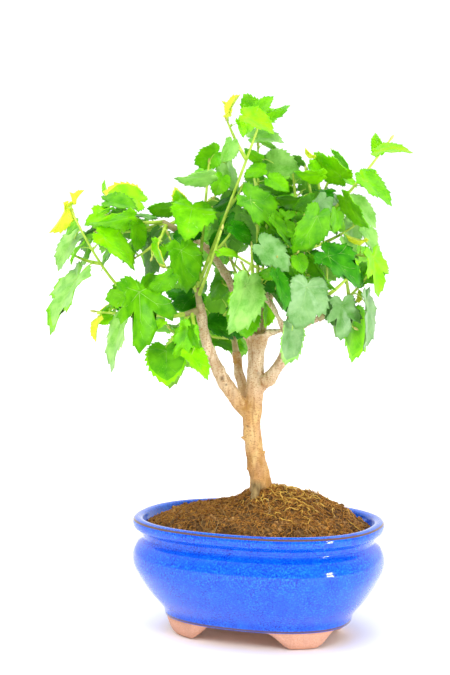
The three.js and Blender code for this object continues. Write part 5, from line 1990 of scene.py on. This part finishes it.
# %% Shoots and stalks
SHOOT_PLACES = 14
SHOOT_SIDES = 7
SHOOT_RADII = (1.25, 0.6)
PINCHED_PAST = 0.06
STALK_PLACES = 6
STALK_SIDES = 5
STALK_BOW = 0.06
LEAF_STALK_RADII = (0.55, 0.34)
FULL_LEAF = 22
STEM_PLACES = 4
STEM_SIDES = 10
STEM_TIP = 1.5
STEM_SINK = 2


def shoot_finish(name, old, young_colour):
    finish, shader = new_finish(name, young_colour, 0.5)
    tone = ramp(finish, speckle(finish, 4, detail=4), [(0.35, old), (0.65, young_colour)])
    colour_from(finish, shader, tone)
    relief(finish, shader, speckle(finish, 0.8), 0.1)
    return finish


green_shoot = shoot_finish("shoot", (0.42, 0.62, 0.04), (0.62, 0.8, 0.12))
brown_stem = shoot_finish("stem", (0.36, 0.27, 0.11), (0.5, 0.42, 0.2))
green_stalk = shoot_finish("stalk", (0.4, 0.66, 0.04), (0.62, 0.82, 0.14))
bud_scale = shoot_finish("bud", (0.4, 0.42, 0.08), (0.74, 0.74, 0.2))
all_twigs = [twig for name in MASS_NAMES for twig in twigs[name][1:]]
stems = [twigs[name][0] for name in MASS_NAMES]

forked = {twig.parent for twig in all_twigs}
last_leaves = {}
for leaf in all_leaves:
    last_leaves[leaf.shoot] = max(leaf.share, last_leaves.get(leaf.shoot, 0))
twig_ends = [1 if twig in forked else min(1, last_leaves.get(twig, 0) + PINCHED_PAST) for twig in all_twigs]
shoot_lines = np.array(
    [twig.line.places(np.linspace(0, end, SHOOT_PLACES)) for twig, end in zip(all_twigs, twig_ends)]
)
shoot_radii = np.tile(np.linspace(*SHOOT_RADII, SHOOT_PLACES), (len(all_twigs), 1))
stem_lines = np.array([twig.line.places(np.linspace(0, 1, STEM_PLACES)) for twig in stems])
stem_lines[:, 0] -= STEM_SINK * unit(stem_lines[:, 1] - stem_lines[:, 0])
stem_radii = np.tile(np.linspace(STEM_RADIUS, STEM_TIP, STEM_PLACES), (len(stems), 1))


def stalk_line(leaf):
    """A stalk from its shoot to just inside the blade, bowed up a little."""
    shares = np.linspace(0, 1, STALK_PLACES)[:, None]
    end = leaf.joint + STALK_SINK * leaf.size * leaf.axis
    bow = np.sin(math.pi * shares) * STALK_BOW * leaf.size
    return mix(leaf.node, end, shares) + bow * np.array([0, 0, 1])


stalk_lines = np.array([stalk_line(leaf) for leaf in all_leaves])
stalk_scale = np.array([[min(1, leaf.size / FULL_LEAF)] for leaf in all_leaves])
stalk_radii = np.linspace(*LEAF_STALK_RADII, STALK_PLACES) * stalk_scale
shoot_sets = [
    tubes(shoot_lines, shoot_radii, SHOOT_SIDES),
    tubes(stem_lines, stem_radii, STEM_SIDES),
    tubes(stalk_lines, stalk_radii, STALK_SIDES),
]
SHOOT_FINISHES = [green_shoot, brown_stem, green_stalk]
set_down("green_shoots", joined("shoots", shoot_sets), SHOOT_FINISHES, MASS_NAMES)

# %% [markdown]
# ## Buds
# Each shoot ends in a pointed bud, and a smaller one sits over each stalk, where next year's twig will come.
# A bud is a short tube that swells and then narrows to its tip, and five sides are enough at this size.

# %% Buds
BUD_SHAPE = np.array([0.45, 1, 0.8, 0.12])
BUD_SIDES = 5
TIP_BUD = (4.2, 0.95)
SIDE_BUD = (2.6, 0.75)
AXIL_LIFT = np.array([0, 0, 0.9])


def bud_tubes(starts, ways, size):
    """Pointed buds from starts along ways, as corners and faces."""
    length, radius = size
    lines = starts[:, None] + ways[:, None] * np.linspace(0, length, len(BUD_SHAPE))[:, None]
    return tubes(lines, np.tile(radius * BUD_SHAPE, (len(starts), 1)), BUD_SIDES)


tips = np.array([twig.line.places(end)[0] for twig, end in zip(all_twigs, twig_ends)])
tip_ways = np.array([twig.line.headings(end)[0] for twig, end in zip(all_twigs, twig_ends)])
axils = np.array([leaf.node for leaf in all_leaves])
axil_ways = unit(np.array([unit(leaf.joint - leaf.node) for leaf in all_leaves]) + AXIL_LIFT)
tip_buds = bud_tubes(tips, tip_ways, TIP_BUD)
side_buds = bud_tubes(axils, axil_ways, SIDE_BUD)
set_down("buds", joined("buds", [tip_buds, side_buds]), [bud_scale, green_stalk], MASS_NAMES)

# %% [markdown]
# ## The floor
# The plant stands on a plain white sheet. It is one large square, far wider than the picture, so that no edge
# of it shows from any side.

# %% Floor
FLOOR_SIZE = 6
sheet, _ = new_finish("white_sheet", (0.96, 0.96, 0.96), 0.9)
floor = bmesh.new()
bmesh.ops.create_grid(floor, x_segments=1, y_segments=1, size=FLOOR_SIZE)
floor_piece = bpy.data.objects.new("floor", mesh_of("floor", floor))
floor_piece.data.materials.append(sheet)
bpy.context.scene.collection.objects.link(floor_piece)
print("floor:", 2 * FLOOR_SIZE, "m wide")

# %% [markdown]
# ## The light
# The light is very bright and soft, so floor and background are both white. A broad sun from above lights the
# leaves and the floor, white surroundings fill the shadows, and the dimmer room in front keeps the upper
# belly of the pot a deep blue. A window of two panes at the front right draws the highlights on the glaze.

# %% Light
SUN_STRENGTH = 3
SUN_SPREAD = math.radians(60)
SUN_TILT = (math.radians(24), math.radians(-10), 0)
ROOM_BRIGHT = 1.2
ROOM_DIM = 0.4
# How far to the back a ray points where the room starts to brighten, and where it is bright
DIM_UP_TO = -0.45
BRIGHT_FROM = 0.15

bpy.context.scene.view_settings.view_transform = "Standard"
world = bpy.data.worlds.new("studio")
world.use_nodes = True
bpy.context.scene.world = world
sky, links = world.node_tree.nodes, world.node_tree.links
directions = sky.new("ShaderNodeTexCoord")
parts = sky.new("ShaderNodeSeparateXYZ")
toward_back = sky.new("ShaderNodeMapRange")
toward_back.inputs["From Min"].default_value = DIM_UP_TO
toward_back.inputs["From Max"].default_value = BRIGHT_FROM
toward_back.inputs["To Min"].default_value = ROOM_DIM
toward_back.inputs["To Max"].default_value = ROOM_BRIGHT
# Seen directly, the surroundings are plain white
rays = sky.new("ShaderNodeLightPath")
brightest = sky.new("ShaderNodeMath")
brightest.operation = "MAXIMUM"
links.new(directions.outputs["Generated"], parts.inputs["Vector"])
links.new(parts.outputs["Y"], toward_back.inputs["Value"])
links.new(toward_back.outputs["Result"], brightest.inputs[0])
links.new(rays.outputs["Is Camera Ray"], brightest.inputs[1])
links.new(brightest.outputs["Value"], sky["Background"].inputs["Strength"])
sky["Background"].inputs["Color"].default_value = (1, 1, 1, 1)

sun_light = bpy.data.lights.new("sun", "SUN")
sun_light.energy = SUN_STRENGTH
sun_light.angle = SUN_SPREAD
sun = bpy.data.objects.new("sun", sun_light)
sun.rotation_euler = SUN_TILT
# The sun draws no highlight on the glaze
sun.visible_glossy = False
bpy.context.scene.collection.objects.link(sun)

# The two panes of the window, as places in millimetres
PANES = [Vector((835, -951, 421)), Vector((841, -972, 125))]
PANE_SIZE = (0.17, 0.15)
PANE_POWER = 3.5
BELLY = Vector((40, -60, 50))
for place in PANES:
    pane_light = bpy.data.lights.new("pane", "AREA")
    pane_light.shape = "RECTANGLE"
    pane_light.size, pane_light.size_y = PANE_SIZE
    pane_light.energy = PANE_POWER
    pane = bpy.data.objects.new("pane", pane_light)
    pane.location = TO_FRAME @ place
    pane.rotation_euler = (BELLY - place).to_track_quat("-Z", "Y").to_euler()
    pane.visible_camera = False
    bpy.context.scene.collection.objects.link(pane)
print("sun:", SUN_STRENGTH, "window panes:", len(PANES), "of", PANE_POWER, "W")
